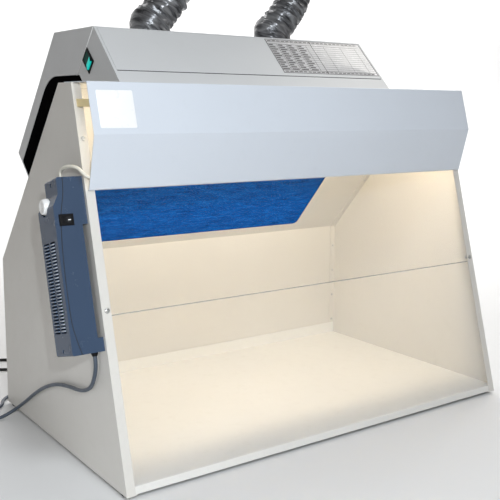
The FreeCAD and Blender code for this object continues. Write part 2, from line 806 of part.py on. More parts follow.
def slope_block(along_low, along_high, out_low, out_high, half):
    """A flat block lying on the slope."""
    return on_slope(((along_low, out_low), (along_low, out_high), (along_high, out_high),
        (along_high, out_low)), -half, half)


save("prefilter_pad", [slope_block(pad_low, pad_high, 0, prefilter_thickness, pad_half)])
frame_outer = slope_block(pad_low - filter_frame_wall, pad_high + filter_frame_wall, 0, cassette_low,
    pad_half + filter_frame_wall)
frame_inner = slope_block(pad_low, pad_high, -1, cassette_low + 1, pad_half)
save("prefilter_frame", [frame_outer.cut(frame_inner)])

# Fans: shroud, motor on three arms, and impeller on its shaft
fan_base = cassette_top_z
impeller_base = fan_base + motor_lift + motor_height + impeller_lift
for side, x in (("left", -fan_offset), ("right", fan_offset)):
    foot = Vector(x, fan_y, fan_base)
    shroud = joined([
        ring(fan_outer_radius, fan_outer_radius - fan_wall, fan_height, foot, UP),
        ring(fan_foot_radius, cassette_outlet_radius, fan_foot_thickness, foot, UP),
        ring(fan_outer_radius, spigot_radius - spigot_wall, fan_wall,
            foot + UP * (fan_height - fan_wall), UP)])
    save("fan_shroud_" + side, [shroud])
    motor_foot = foot + UP * motor_lift
    arms = []
    for k in range(3):
        arm = block(0, fan_outer_radius, -motor_arm_width / 2, motor_arm_width / 2, 0,
            motor_arm_thickness)
        arm.Placement = FreeCAD.Placement(motor_foot, FreeCAD.Rotation(UP, 120.0 * k + 30.0))
        arms.append(arm)
    shaft_top = impeller_base + impeller_hub_height + 1.0
    shaft = rod(shaft_radius, shaft_top - fan_base - motor_lift, motor_foot, UP)
    motor = joined([rod(motor_radius, motor_height, motor_foot, UP), shaft] + arms)
    save("fan_motor_" + side, [motor.common(rod(fan_outer_radius - fan_wall, fan_height, foot, UP))])
    hub_foot = Vector(x, fan_y, impeller_base)
    pieces = [rod(impeller_hub_radius, impeller_hub_height, hub_foot, UP),
        rod(impeller_radius, impeller_disc, hub_foot, UP)]
    for k in range(impeller_blades):
        chord = impeller_radius - impeller_blade_inner
        blade = block(0, chord, 0, impeller_blade_wall, 0, impeller_blade_height)
        blade.Placement = FreeCAD.Placement(Vector(impeller_blade_inner - 2, 0, 0),
            FreeCAD.Rotation(UP, impeller_blade_lean))
        blade.rotate(Vector(0, 0, 0), UP, 360.0 * k / impeller_blades)
        blade.translate(hub_foot)
        pieces.append(blade)
    wheel = joined(pieces).common(rod(impeller_radius, 2 * impeller_hub_height, hub_foot - UP, UP))
    wheel = wheel.cut(rod(shaft_radius + running_gap, 2 * impeller_hub_height, hub_foot - UP, UP))
    save("fan_impeller_" + side, [wheel])

# Spigots through the level top, each with a band round the hose
hose_foot_z = ridge_z + spigot_flange
for side, x in (("left", -fan_offset), ("right", fan_offset)):
    tube_foot = Vector(x, fan_y, fan_base + fan_height)
    tube_length = hose_foot_z + spigot_rise - tube_foot.z
    flange = ring(spigot_flange_radius, spigot_radius - spigot_wall, spigot_flange,
        Vector(x, fan_y, ridge_z), UP)
    save("duct_spigot_" + side, [joined([ring(spigot_radius, spigot_radius - spigot_wall, tube_length,
        tube_foot, UP), flange])])
    band_foot = Vector(x, fan_y, hose_foot_z + clamp_lift)
    band_inner = hose_radius + clamp_gap
    band = ring(band_inner + clamp_wall, band_inner, clamp_width, band_foot, UP)
    worm = block(x - 9, x + 9, fan_y + band_inner + 0.2, fan_y + band_inner + 9, band_foot.z,
        band_foot.z + clamp_width)
    save("hose_clamp_" + side, [joined([band, worm])])


# Cords: straight runs joined by tangent arcs
def cord_path(points):
    """A wire of straight runs and arcs, its length and its tightest arc."""
    corners = [Vector(*p) for p in points]
    edges = []
    tightest = 1e9
    start = corners[0]
    for a, p, b in zip(corners, corners[1:], corners[2:]):
        into = p - a
        onward = b - p
        turn = into.getAngle(onward)
        reach = 0.45 * min(into.Length, onward.Length)
        radius = reach / math.tan(turn / 2)
        tightest = min(tightest, radius)
        e, g = into.normalize(), onward.normalize()
        arc_start = p - e * reach
        arc_end = p + g * reach
        middle = p + (g - e).normalize() * (radius / math.cos(turn / 2) - radius)
        edges.append(Part.LineSegment(start, arc_start).toShape())
        edges.append(Part.Arc(arc_start, middle, arc_end).toShape())
        start = arc_end
    edges.append(Part.LineSegment(start, corners[-1]).toShape())
    wire = Part.Wire(edges)
    return wire, wire.Length, tightest


def cord_solid(name, points, radius, hollow=0.0):
    """A tube along a route, with its volume compared with its section times its length."""
    wire, length, tightest = cord_path(points)
    first = Vector(*points[0])
    direction = (Vector(*points[1]) - first).normalize()
    solid = wire.makePipeShell([Part.Wire(Part.makeCircle(radius, first, direction))], True, False)
    section = math.pi * radius ** 2
    if hollow:
        inside = wire.makePipeShell([Part.Wire(Part.makeCircle(hollow, first, direction))], True, False)
        solid = solid.cut(inside)
        section -= math.pi * hollow ** 2
    share = solid.Volume / (section * length)
    print(name, "length", round(length), "tightest arc", round(tightest), "volume share",
        round(share, 4))
    return solid


# Hoses: from the spigots up and to the right, as far as the ceiling duct's cuffs
hose_route = (
    (0, 0, 0), (0, 0, 27), (9, 2, 62), (36, 5, 106), (78, 10, 158), (114, 18, 230), (136, 26, 318),
    (147, 30, 418), (151, 32, 518))
for side, x in (("left", -fan_offset), ("right", fan_offset)):
    route = [(x + dx, fan_y + dy, hose_foot_z + dz) for dx, dy, dz in hose_route]
    save("exhaust_hose_" + side, [cord_solid("hose " + side, route, hose_radius,
        hose_radius - hose_wall)])
    end = Vector(*route[-1])
    onward = (end - Vector(*route[-2])).normalize()
    cuff = joined([
        ring(hose_radius, hose_radius - cuff_wall, cuff_length, end, onward),
        ring(cuff_flange_radius, hose_radius - cuff_wall, cuff_flange,
            end + onward * (cuff_length - cuff_flange), onward)])
    save("hose_cuff_" + side, [cuff])


# Rocker switches, made flat: a is the long way, b the pivot's, h outwards from the panel
rocker_wall = 2.0
rocker_lip = 2.2
rocker_lip_chamfer = 0.9
rocker_well_share = 0.36
rocker_margins = (4.2, 4.6)
rocker_pivot_share = 0.3
rocker_pin_share = 0.09
rocker_pin_gap = 0.07
rocker_pin_room = 0.5
rocker_pin_end_gap = 0.8
paddle_share = 0.93
paddle_side_gap = 0.35
paddle_rise_share = 0.1
paddle_dip_share = 0.06
paddle_skirt = (0.2, 1.8)
paddle_belly_share = 0.25
paddle_edge_radii = (0.8, 0.7)
paddle_belly_radius = 0.6


def rocker_switch(size, tilt):
    """Bezel with its well, and paddle on its pins, for a bezel of that size."""
    a_half, b_half = size[0] / 2, size[1] / 2
    wall = rocker_wall
    well = rocker_well_share * size[0]
    lip = rocker_lip
    hole_a, hole_b = a_half - rocker_margins[0], b_half - rocker_margins[1]
    pivot_h = -rocker_pivot_share * hole_a
    bezel = block(-a_half, a_half, -b_half, b_half, 0, lip)
    rim_edges = [e for e in bezel.Edges if e.BoundBox.ZMin > lip - 0.01]
    bezel = bezel.makeChamfer(rocker_lip_chamfer, rim_edges)
    body = block(-hole_a - wall, hole_a + wall, -hole_b - wall, hole_b + wall, -well, 0.1)
    hole = block(-hole_a, hole_a, -hole_b, hole_b, -well + wall, lip + 1)
    pin_radius = rocker_pin_share * hole_a
    pin_hole = rod(pin_radius + rocker_pin_gap, 4 * b_half, Vector(0, -2 * b_half, pivot_h), BACK)
    pin_reach = hole_b + wall - rocker_pin_room
    sockets = pin_hole.common(block(-a_half, a_half, -pin_reach, pin_reach, -well, lip))
    bezel = joined([bezel, body]).cut([hole, sockets])
    half = paddle_share * hole_a
    rise = lip + paddle_rise_share * half
    dip = lip - paddle_dip_share * half
    skirt, belly = paddle_skirt[0] * pivot_h, paddle_skirt[1] * pivot_h
    belly_half = paddle_belly_share * half
    paddle_line = (
        (-half, skirt), (-half, rise), (0, dip), (half, rise), (half, skirt),
        (belly_half, belly), (-belly_half, belly))
    corners = [Vector(a, -hole_b + paddle_side_gap, h) for a, h in paddle_line]
    foot, crest = paddle_edge_radii
    paddle = rounded_wire(corners, (foot, crest, 3 * half, crest, foot, paddle_belly_radius,
        paddle_belly_radius))
    paddle = Part.Face(paddle).extrude(Vector(0, 2 * (hole_b - paddle_side_gap), 0))
    pin_half = hole_b + wall - rocker_pin_end_gap
    pins = rod(pin_radius, 2 * pin_half, Vector(0, -pin_half, pivot_h), BACK)
    paddle = joined([paddle, pins])
    paddle.rotate(Vector(0, 0, pivot_h), BACK, tilt)
    return bezel, paddle


def placed(shape, origin, a, b, h):
    """A shape made flat, set on the panel that carries it."""
    shape.Placement = FreeCAD.Placement(origin,
        FreeCAD.Rotation(a, b, h, "ZXY")).multiply(shape.Placement)
    return shape


rocker_tilt = 6.0
power_seat = at_slope(-housing_half_width, power_switch_along, power_switch_out)
bezel, paddle = rocker_switch(power_switch_size, rocker_tilt)
save("power_rocker_bezel", [placed(bezel, power_seat, SLOPE_OUT, SLOPE_DOWN, LEFT)])
save("power_rocker", [placed(paddle, power_seat, SLOPE_OUT, SLOPE_DOWN, LEFT)])

# Lamp control box, made upright: X as the cabinet's, Y back from the front plane, Z up it
box_right_x = -half_width - box_gap
box_left_x = box_outer_x
box_top_left_x = -half_width - box_gap - box_top_thickness
box_back = box_front + box_depth
box_top_back = box_front + box_top_depth


def box_body(shrink):
    """The box's outer shape, or its hollow: a waist-high step in on its face and behind."""
    outline = (
        (box_right_x - shrink, box_bottom + shrink),
        (box_left_x + shrink, box_bottom + shrink),
        (box_left_x + shrink, box_shoulder_low),
        (box_top_left_x + shrink, box_shoulder_high),
        (box_top_left_x + shrink, box_top - shrink),
        (box_right_x - shrink, box_top - shrink))
    corners = [Vector(x, box_front + shrink, s) for x, s in outline]
    r = max(box_corner - shrink, 0.5)
    body = Part.Face(rounded_wire(corners, (r, r, 12, 12, r, r))).extrude(Vector(0,
        box_depth - 2 * shrink, 0))
    side = (
        (box_front - 1, box_bottom - 1), (box_back - shrink, box_bottom - 1),
        (box_back - shrink, box_shoulder_low),
        (box_top_back - shrink, box_shoulder_high), (box_top_back - shrink, box_top + 1),
        (box_front - 1, box_top + 1))
    corners = [Vector(box_left_x - 10, q, s) for q, s in side]
    keep = Part.Face(rounded_wire(corners, (0, 0, 12, 12, 0, 0))).extrude(Vector(box_thickness + 30, 0,
        0))
    return body.common(keep)


outer = box_body(0)
hollow = box_body(box_wall)
split_top_x = box_top_left_x + split_top_inset
part_line = (
    (box_left_x - split_margin, box_top + split_margin), (split_top_x, box_top + split_margin),
    (split_top_x, box_top - split_top_drops[0]), (box_top_left_x, box_top - split_top_drops[1]),
    (box_left_x + split_insets[0], box_top - split_top_drops[2]),
    (box_left_x + split_insets[1], box_bottom + split_rises[0]),
    (box_left_x + split_insets[2], box_bottom + split_rises[1]),
    (box_left_x + split_insets[3], box_bottom - split_margin),
    (box_left_x - split_margin, box_bottom - split_margin))
corners = [Vector(x, box_front - split_margin, s) for x, s in part_line]
cover_side = Part.Face(rounded_wire(corners, split_radii)).extrude(Vector(0,
    box_depth + 3 * split_margin, 0))
shell = outer.cut(hollow)

knob_seat_at = Vector(knob_seat_x, knob_q, knob_s)
boss = rod(knob_boss_radius, 2 * knob_boss_wall, knob_seat_at + LEFT * knob_boss_wall, RIGHT)
boss = boss.common(outer)
screw_bosses = []
screw_wells = []
case_screw_solids = []
for q, s in case_screws:
    face_x = box_left_x if s < box_shoulder_low else box_top_left_x
    screw_bosses.append(rod(case_screw_head_radius + case_screw_boss[0], case_screw_boss[1],
        Vector(face_x, q, s), RIGHT))
    screw_wells.append(rod(case_screw_head_radius + case_screw_room, case_screw_sink + case_screw_room,
        Vector(face_x - case_screw_room, q, s), RIGHT))
    screw_wells.append(rod(case_screw_radius, 20, Vector(face_x - 1, q, s), RIGHT))
    seat = Vector(face_x + case_screw_sink, q, s)
    case_screw_solids.append(joined([
        rod(case_screw_head_radius, case_screw_head_height, seat, LEFT),
        rod(case_screw_radius, case_screw_length, seat, RIGHT)]))

box_cover = joined([shell.common(cover_side), boss.common(cover_side)]
    + [b.common(cover_side) for b in screw_bosses])
recess = rod(knob_boss_radius - 0.5, 30, knob_seat_at, LEFT)
bush_hole = rod(control_bush_radius + bush_room, 20, knob_seat_at + LEFT * 5, RIGHT)
slots = []
for k in range(grille_slots):
    s = grille_bottom + grille_pitch * k
    for q_low, q_high in grille_columns:
        slots.append(block(box_left_x - 2, box_left_x + box_wall + 0.5, q_low, q_high, s,
            s + grille_slot_height))
lamp_switch_hole_half = (lamp_switch_size[0] / 2 - lamp_switch_seat[0],
    lamp_switch_size[1] / 2 - lamp_switch_seat[1])
lamp_switch_at = -half_width - lamp_switch_x
lamp_switch_hole = block(
    lamp_switch_at - lamp_switch_hole_half[0], lamp_switch_at + lamp_switch_hole_half[0],
    box_front - 2, box_front + box_wall + 2,
    lamp_switch_s - lamp_switch_hole_half[1], lamp_switch_s + lamp_switch_hole_half[1])
box_cover = box_cover.cut([recess, bush_hole, lamp_switch_hole] + slots + screw_wells)

pads = [
    block(box_right_x - 1, -half_width, box_front, box_front + box_pad_depth, box_bottom,
        box_pad_low_top),
    block(box_right_x - 1, -half_width, box_front, box_front + box_pad_depth, box_pad_high_bottom,
        box_top)]
lead_exit = (-half_width - lead_exit_x, lead_exit_q)
cable_exit = (-half_width - cable_exit_x, cable_exit_q)
lead_hole = rod(lamp_lead_diameter / 2, 20, Vector(lead_exit[0], lead_exit[1], box_bottom - 10), UP)
cable_hole = rod(lamp_cable_diameter / 2, 12, Vector(cable_exit[0], cable_exit[1], box_top - 8), UP)
box_base = joined([shell.cut(cover_side)] + pads)
box_base = box_base.cut([lamp_switch_hole, cable_hole, lead_hole, boss] + screw_bosses)

control = joined([
    rod(control_radius, control_depth, Vector(knob_seat_x + knob_boss_wall, knob_q, knob_s), RIGHT),
    rod(control_bush_radius, knob_boss_wall + control_bush_length,
        Vector(knob_seat_x + knob_boss_wall, knob_q, knob_s), LEFT),
    rod(shaft_radius, knob_boss_wall + control_shaft_length,
        Vector(knob_seat_x + knob_boss_wall, knob_q, knob_s), LEFT)])
knob_outline = (
    (shaft_radius + running_gap, knob_height - knob_top_wall),
    (shaft_radius + running_gap, control_bush_length + 1),
    (control_bush_radius + 1, control_bush_length + 1),
    (control_bush_radius + 1, 0), (knob_radius, 0), (knob_radius, knob_skirt_share * knob_height),
    (knob_top_radius, knob_height - knob_edge),
    (knob_top_radius - knob_edge, knob_height), (knob_dish[0] * knob_top_radius, knob_height),
    (knob_dish[1] * knob_top_radius, knob_height - knob_dish[2]), (0, knob_height - knob_dish[2]),
    (0, knob_height - knob_top_wall))
knob = turned(knob_outline, Vector(knob_seat_x - knob_gap, knob_q, knob_s), LEFT)

board_x = box_right_x - box_wall - board_stand
board_q = box_front + board_edge_gap
board_s = box_bottom + board_foot
board_top_x = board_x - board_wall
board = [block(board_top_x, board_x, board_q, board_q + board_depth, board_s, board_s + board_length)]
for q in (board_q + board_post_inset, board_q + board_depth - board_post_inset):
    for s in (board_s + board_post_inset, board_s + board_length - board_post_inset):
        board.append(rod(board_post_radius, board_stand, Vector(board_x, q, s), RIGHT))
for start, (q_size, s_size, height) in ((20.0, choke_size), (84.0, transformer_size)):
    low_q = board_q + (board_depth - q_size) / 2
    board.append(block(board_top_x - height, board_top_x, low_q, low_q + q_size, board_s + start,
        board_s + start + s_size))
for q_part, (radius, height) in ((0.33, large_capacitor), (0.73, small_capacitor)):
    board.append(rod(radius, height, Vector(board_top_x, board_q + q_part * board_depth,
        board_s + capacitor_place), LEFT))

lamp_switch_seat = Vector(lamp_switch_at, box_front, lamp_switch_s)
lamp_bezel, lamp_paddle = rocker_switch(lamp_switch_size, -rocker_tilt)
lamp_bezel = placed(lamp_bezel, lamp_switch_seat, RIGHT, UP, -BACK)
lamp_paddle = placed(lamp_paddle, lamp_switch_seat, RIGHT, UP, -BACK)


def gland(start, direction, cord_radius, collar, sleeve):
    """Collar against the wall, then a tapered sleeve down to the lead."""
    outline = (
        (0, 0), (gland_collar_radius, 0), (gland_collar_radius, collar),
        (gland_sleeve_top_radius, collar + gland_step),
        (cord_radius + gland_wall, collar + sleeve), (0, collar + sleeve))
    return turned(outline, start, direction)


lamp_gland = gland(Vector(lead_exit[0], lead_exit[1], box_bottom), -UP, lamp_lead_diameter / 2,
    lamp_gland_collar, lamp_gland_sleeve)

box_axes = (RIGHT, -FRONT_OUT, FRONT_UP)
for name, shapes in (
        ("control_box_base", [box_base]), ("control_box_cover", [box_cover]),
        ("control_box_screws", case_screw_solids),
        ("dimmer_control", [control]), ("dimmer_knob", [knob]), ("lamp_ballast", [joined(board)]),
        ("lamp_rocker_bezel", [lamp_bezel]), ("lamp_rocker", [lamp_paddle]),
        ("lamp_lead_gland", [lamp_gland])):
    save(name, [placed(s, Vector(0, 0, 0), *box_axes) for s in shapes])

# Lamp cable: out of the box's top, over the flange and in behind the visor to the lamp holder. Its
# places are x from the left panel, distance ahead of the front plane and height over the visor
cable_places = (
    (-23, -18.8, 42.2), (-12, 4.2, 42.2), (0, 10.6, 25.2), (14, 13.3, 20.2), (27, 13.6, 36.2),
    (32, 15.8, 70.2), (33, 18.0, 104.2))
cable_start = at_front(cable_exit[0], cable_exit[1], box_top)
cable_route = (
    (cable_start.x, cable_start.y, cable_start.z),
    (cable_start.x, cable_start.y + 3, cable_start.z + 16),
    *((-half_width + x, front_y(visor_bottom[1] + rise) - ahead, visor_bottom[1] + rise) for x, ahead,
        rise in cable_places),
    tuple(cable_turn), tuple(cable_end))
save("lamp_cable", [cord_solid("lamp cable", cable_route, lamp_cable_diameter / 2)])


def coil_solid(start, side, cord_radius):
    """The outer shape of a neat flat coil on the bench, with the short tail that goes to the plug."""
    radius = coil_turn_diameters * cord_radius
    wide = 2 * cord_radius
    high = 4 * cord_radius
    outline = ((radius - wide, 0), (radius + wide, 0), (radius + wide, high), (radius - wide, high))
    corners = [Vector(r, 0, h) for r, h in outline]
    turns = Part.Face(rounded_wire(corners, [0.9 * cord_radius] * 4)).revolve(Vector(0, 0, 0), UP, 360)
    turns.translate(Vector(start.x, start.y + side * radius, -foot_height))
    tail = rod(cord_radius, coil_tail, Vector(start.x, start.y, 3 * cord_radius - foot_height), RIGHT)
    return joined([turns, tail])


def plug_solid(start, cord_radius):
    """Three-pin mains plug lying on its side, at the end of a coil's tail."""
    axis = 3 * cord_radius
    body = block(plug_sleeve, plug_sleeve + plug_body[0], -plug_body[1] / 2, plug_body[1] / 2, -axis,
        plug_body[2] - axis)
    body = body.makeFillet(plug_corner, [e for e in body.Edges
        if abs(e.tangentAt(e.FirstParameter).z) > 0.99])
    sleeve_outline = ((0, 0), (cord_radius + 1, 0), (plug_sleeve_radius, plug_sleeve), (0, plug_sleeve))
    pieces = [body, turned(sleeve_outline, Vector(0, 0, 0), RIGHT)]
    front = plug_sleeve + plug_body[0]
    for y in (-plug_pin_spread, plug_pin_spread):
        pieces.append(block(front - 1, front + plug_pin[0], y - plug_pin[1] / 2, y + plug_pin[1] / 2,
            -plug_pin[2], 0))
    pieces.append(block(front - 1, front + plug_earth_pin[0], -plug_earth_pin[1] / 2,
        plug_earth_pin[1] / 2, 2, 2 + plug_earth_pin[2]))
    solid = joined(pieces)
    solid.translate(Vector(start.x + coil_tail, start.y, axis - foot_height))
    return solid


# Lamp lead: down the side panel, out past the cabinet's side, back and in behind it to a coil
lamp_lead_start = at_front(lead_exit[0], lead_exit[1],
    box_bottom - lamp_gland_collar - lamp_gland_sleeve)
lead_low = lamp_lead_diameter / 2 - foot_height
lamp_lead_route = (
    (lamp_lead_start.x, lamp_lead_start.y, lamp_lead_start.z),
    (lamp_lead_start.x, lamp_lead_start.y - 14 * math.sin(lean),
        lamp_lead_start.z - 14 * math.cos(lean)),
    (-513, 94, 202), (-511, 117, 172), (-510, 162, 153), (-509, 228, 145),
    (-509, 290, 132), (-510, 350, 109), (-509, 412, 77), (-508, 470, 42), (-515, 512, 14),
    (-546, 518, lead_low), (-590, 508, lead_low),
    (-628, 522, lead_low), (-634, 556, lead_low), (-602, 574, lead_low), (-556, 568, lead_low),
    (-521, 590, lead_low), (-506, 632, lead_low),
    (-470, 657, lead_low), (-426, 660, lead_low), (-386, 656, lead_low))
lamp_lead_end = Vector(*lamp_lead_route[-1])
save("lamp_lead", [cord_solid("lamp lead", lamp_lead_route, lamp_lead_diameter / 2)])
save("lamp_lead_coil", [coil_solid(lamp_lead_end, 1, lamp_lead_diameter / 2)])
save("lamp_lead_plug", [plug_solid(lamp_lead_end, lamp_lead_diameter / 2)])

# Mains lead: out of the housing's bottom end, down behind to the bench, round to a coil
mains_gland = gland(
    at_slope(mains_exit_x, housing_bottom, mains_exit_out), SLOPE_DOWN, mains_lead_diameter / 2,
    mains_gland_collar, mains_gland_sleeve)
save("mains_lead_gland", [mains_gland])
mains_start = at_slope(mains_exit_x, housing_bottom + mains_gland_collar + mains_gland_sleeve,
    mains_exit_out)
mains_low = mains_lead_diameter / 2 - foot_height
mains_route = (
    (mains_start.x, mains_start.y, mains_start.z), (-300, mains_start.y + 27, mains_start.z - 30),
    (-302, 760, 340), (-306, 772, 260),
    (-312, 782, 180), (-321, 798, 104), (-334, 828, 44), (-352, 872, 10), (-374, 920, mains_low),
    (-404, 948, mains_low), (-438, 944, mains_low),
    (-458, 915, mains_low), (-452, 880, mains_low), (-424, 852, mains_low), (-382, 840, mains_low),
    (-340, 836, mains_low), (-302, 836, mains_low))
mains_end = Vector(*mains_route[-1])
save("mains_lead", [cord_solid("mains lead", mains_route, mains_lead_diameter / 2)])
save("mains_lead_coil", [coil_solid(mains_end, -1, mains_lead_diameter / 2)])
save("mains_lead_plug", [plug_solid(mains_end, mains_lead_diameter / 2)])
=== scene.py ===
"""Bench fume extraction cabinet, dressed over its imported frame, in metres with +Z up."""
import math

import bmesh
import bpy
import numpy as np
from mathutils import Matrix, Vector


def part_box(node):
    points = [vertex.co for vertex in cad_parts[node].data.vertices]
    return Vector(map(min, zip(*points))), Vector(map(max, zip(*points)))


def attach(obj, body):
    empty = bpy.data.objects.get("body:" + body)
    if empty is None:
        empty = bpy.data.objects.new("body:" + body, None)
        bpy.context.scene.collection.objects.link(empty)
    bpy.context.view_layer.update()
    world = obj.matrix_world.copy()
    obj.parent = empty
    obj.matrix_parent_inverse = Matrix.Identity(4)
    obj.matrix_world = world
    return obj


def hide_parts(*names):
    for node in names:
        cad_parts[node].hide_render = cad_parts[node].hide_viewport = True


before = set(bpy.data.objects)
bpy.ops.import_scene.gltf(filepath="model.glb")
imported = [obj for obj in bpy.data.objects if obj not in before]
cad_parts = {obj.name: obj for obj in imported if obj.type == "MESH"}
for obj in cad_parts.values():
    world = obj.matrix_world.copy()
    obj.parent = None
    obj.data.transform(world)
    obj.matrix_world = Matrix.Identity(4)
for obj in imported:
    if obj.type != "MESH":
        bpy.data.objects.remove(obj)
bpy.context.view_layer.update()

# The view. The cabinet is seen from its front left, a little below the level of its top, by a
# camera standing about 1.7 m away. Places are given in the cabinet's own millimetres, from the
# middle of its front lower edge, and turned into the frame's metres.
cabinet_half = 0.5
cabinet_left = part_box("sloped_rear_panel")[0][0]
panel_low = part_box("left_side_panel")[0]
cabinet_origin = Vector((cabinet_left + cabinet_half, panel_low[1], panel_low[2]))


def place(x, y, z):
    """A place in the cabinet's own millimetres, as a point of the frame."""
    return cabinet_origin + Vector((x, y, z)) / 1000.0


def in_scene(name, data):
    """A mesh, curve, light or camera as an object at the frame's origin."""
    made = bpy.data.objects.new(name, data)
    bpy.context.scene.collection.objects.link(made)
    return made


camera_data = bpy.data.cameras.new("photo_camera")
camera_data.sensor_width = 36.0
camera_data.lens = 60.4
camera_data.shift_x = -0.0312
camera_data.shift_y = -0.0312
camera_data.clip_end = 50.0
camera = in_scene("photo_camera", camera_data)
camera_right = Vector((0.8081, -0.58899, 0.00752))
camera_down = Vector((-0.08276, -0.12617, -0.98855))
camera_ahead = Vector((0.5832, 0.79823, -0.1507))
camera_turn = Matrix((camera_right, -camera_down, -camera_ahead)).transposed().to_4x4()
camera.matrix_world = Matrix.Translation(place(-1128.9, -1270.1, 687.7)) @ camera_turn
bpy.context.scene.camera = camera

# The bench: a plain pale floor that curves up into a plain backdrop behind the cabinet, so that
# the view has no horizon. Neither is part of the object.
bench_front, bench_back, bench_half = -3.0, 2.2, 8.0
curve_radius, wall_foot, wall_top = 1.2, 1.6, 4.0
flat_rows, curve_rows, wall_rows, bench_columns = 14, 12, 5, 33
curve_turn = np.linspace(0, math.pi / 2, curve_rows)[1:]
bench_depth = np.concatenate([
    np.linspace(bench_front, bench_back, flat_rows), bench_back + curve_radius * np.sin(curve_turn),
    np.full(wall_rows, bench_back + curve_radius)])
bench_height = np.concatenate([
    np.zeros(flat_rows), curve_radius - curve_radius * np.cos(curve_turn),
    np.linspace(wall_foot, wall_top, wall_rows)])
bench_across = np.linspace(-bench_half, bench_half, bench_columns)


def grid_faces(rows, columns, closed=False):
    """The quads of a grid of rows by columns, its columns joined round if it is closed."""
    spans = columns if closed else columns - 1
    row, column = np.meshgrid(np.arange(rows - 1), np.arange(spans), indexing="ij")
    start, beside = row * columns + column, row * columns + (column + 1) % columns
    return np.stack([start, beside, beside + columns, start + columns], -1).reshape(-1, 4)


def mesh_piece(name, vertices, faces, smooth=True):
    """A mesh from its points and faces, shaded smooth or flat, in the scene."""
    mesh = bpy.data.meshes.new(name)
    mesh.from_pydata(vertices.tolist(), [], faces)
    mesh.polygons.foreach_set("use_smooth", np.full(len(mesh.polygons), smooth))
    mesh.update()
    return in_scene(name, mesh)


def surface(name, points, closed=False, caps=False):
    """A mesh over a grid of points, rows first. Caps close the first and last row with a fan of
    triangles round the row's mean point."""
    rows, columns = points.shape[:2]
    vertices = points.reshape(-1, 3)
    faces = grid_faces(rows, columns, closed).tolist()
    if caps:
        first, last, last_row = len(vertices), len(vertices) + 1, (rows - 1) * columns
        vertices = np.vstack([vertices, points[0].mean(0), points[-1].mean(0)])
        here = np.arange(columns)
        after = (here + 1) % columns
        faces += np.stack([np.full(columns, first), after, here], -1).tolist()
        faces += np.stack([np.full(columns, last), last_row + here, last_row + after], -1).tolist()
    return mesh_piece(name, vertices, faces)


def settle(shader, **values):
    """Set plain values on a shader's own sockets. An underscore in a name is a space."""
    for key, value in values.items():
        shader.inputs[key.replace("_", " ")].default_value = value


bench_grid = np.stack(np.broadcast_arrays(
    bench_across[None, :], bench_depth[:, None], bench_height[:, None]), -1)
bench = surface("bench_top", bench_grid)
bench_paint = bpy.data.materials.new("bench_matt")
bench_paint.use_nodes = True
bench_shader = bench_paint.node_tree.nodes["Principled BSDF"]
settle(bench_shader, Base_Color=(0.78, 0.78, 0.78, 1), Roughness=0.65)
bench.data.materials.append(bench_paint)

# The studio: a small cool flash just over the camera, a soft light high to its right, a weak fill
# from the right, one light behind for the tops, one low down for the side panel, a wide one for
# the backdrop, and a pale warm surround.
world = bpy.data.worlds.new("surround")
world.use_nodes = True
settle(world.node_tree.nodes["Background"], Color=(1.0, 0.94, 0.88, 1), Strength=0.20)
bpy.context.scene.world = world
bpy.context.scene.view_settings.view_transform = "Standard"


def soft_light(name, start, aim, size, power, colour, width=None, spread=180.0):
    """An area light at start, facing aim: a square, or a rectangle where it has a width too. Its
    spread is the angle that it lights, in degrees."""
    lamp = bpy.data.lights.new(name, "AREA")
    lamp.shape = "RECTANGLE"
    lamp.size = width or size
    lamp.size_y = size
    lamp.energy = power
    lamp.color = colour
    lamp.spread = math.radians(spread)
    facing = (Vector(aim) - Vector(start)).to_track_quat("-Z", "Y").to_matrix().to_4x4()
    in_scene(name, lamp).matrix_world = Matrix.Translation(Vector(start)) @ facing


flash_colour = (0.90, 0.955, 1.0)
soft_light("flash_light", (-0.98, -1.74, 0.92), (-0.2, 0.0, 0.4), 0.04, 13.6, flash_colour)
soft_light("key_light", (-0.45, -1.70, 1.95), (-0.15, -0.3, 0.45), 0.6, 19.0, flash_colour)
soft_light("fill_light", (2.4, -1.2, 1.8), (0.0, 0.0, 0.3), 1.8, 2.5, (1.0, 0.98, 0.97))
soft_light("back_light", (2.1, 0.35, 2.3), (0.3, 0.1, 0.85), 1.0, 17.0, (1.0, 0.97, 0.92))
soft_light("low_light", (-2.0, -1.7, 0.45), (-0.5, -0.36, 0.08), 0.4, 0.3, (0.92, 0.96, 1.0),
           spread=26.0)
soft_light("wall_light", (3.0, 2.0, 3.2), (3.0, 3.4, 0.9), 0.8, 200.0, (1.0, 1.0, 1.0), width=6.0)

# Side panels, back, sloped panel, top plate and floor channels: steel sheet, cut and folded, with a
# light grey powder coat. The coat is a little cloudy in colour and finely rippled like orange
# peel, and the folds and cut edges are slightly rounded by it.


def new_finish(name):
    """A material with its shader, and a short way to add and join nodes."""
    finish = bpy.data.materials.new(name)
    finish.use_nodes = True
    tree = finish.node_tree
    shader = tree.nodes["Principled BSDF"]

    def node(kind, operation=None, **inputs):
        """A node of that kind. An input is a value, or another node's output. It goes by its name,
        or by i and its number where a node gives all its inputs one name."""
        made = tree.nodes.new(kind)
        if operation:
            made.operation = operation
        for key, value in inputs.items():
            numbered = key[0] == "i" and key[1:].isdigit()
            socket = made.inputs[int(key[1:]) if numbered else key.replace("_", " ")]
            if isinstance(value, bpy.types.NodeSocket):
                tree.links.new(value, socket)
            else:
                socket.default_value = value
        return made

    def join(output, socket):
        """Join an output to one of the shader's sockets."""
        tree.links.new(output, shader.inputs[socket])

    return finish, shader, node, join


def place_on(node):
    """The place on the piece, in the frame's metres."""
    return node("ShaderNodeTexCoord").outputs["Object"]


def noise(node, where, scale, detail, roughness, **more):
    """Soft random blotches, about one over the scale in size."""
    return node("ShaderNodeTexNoise", Vector=where, Scale=scale, Detail=detail,
                Roughness=roughness, **more).outputs["Fac"]


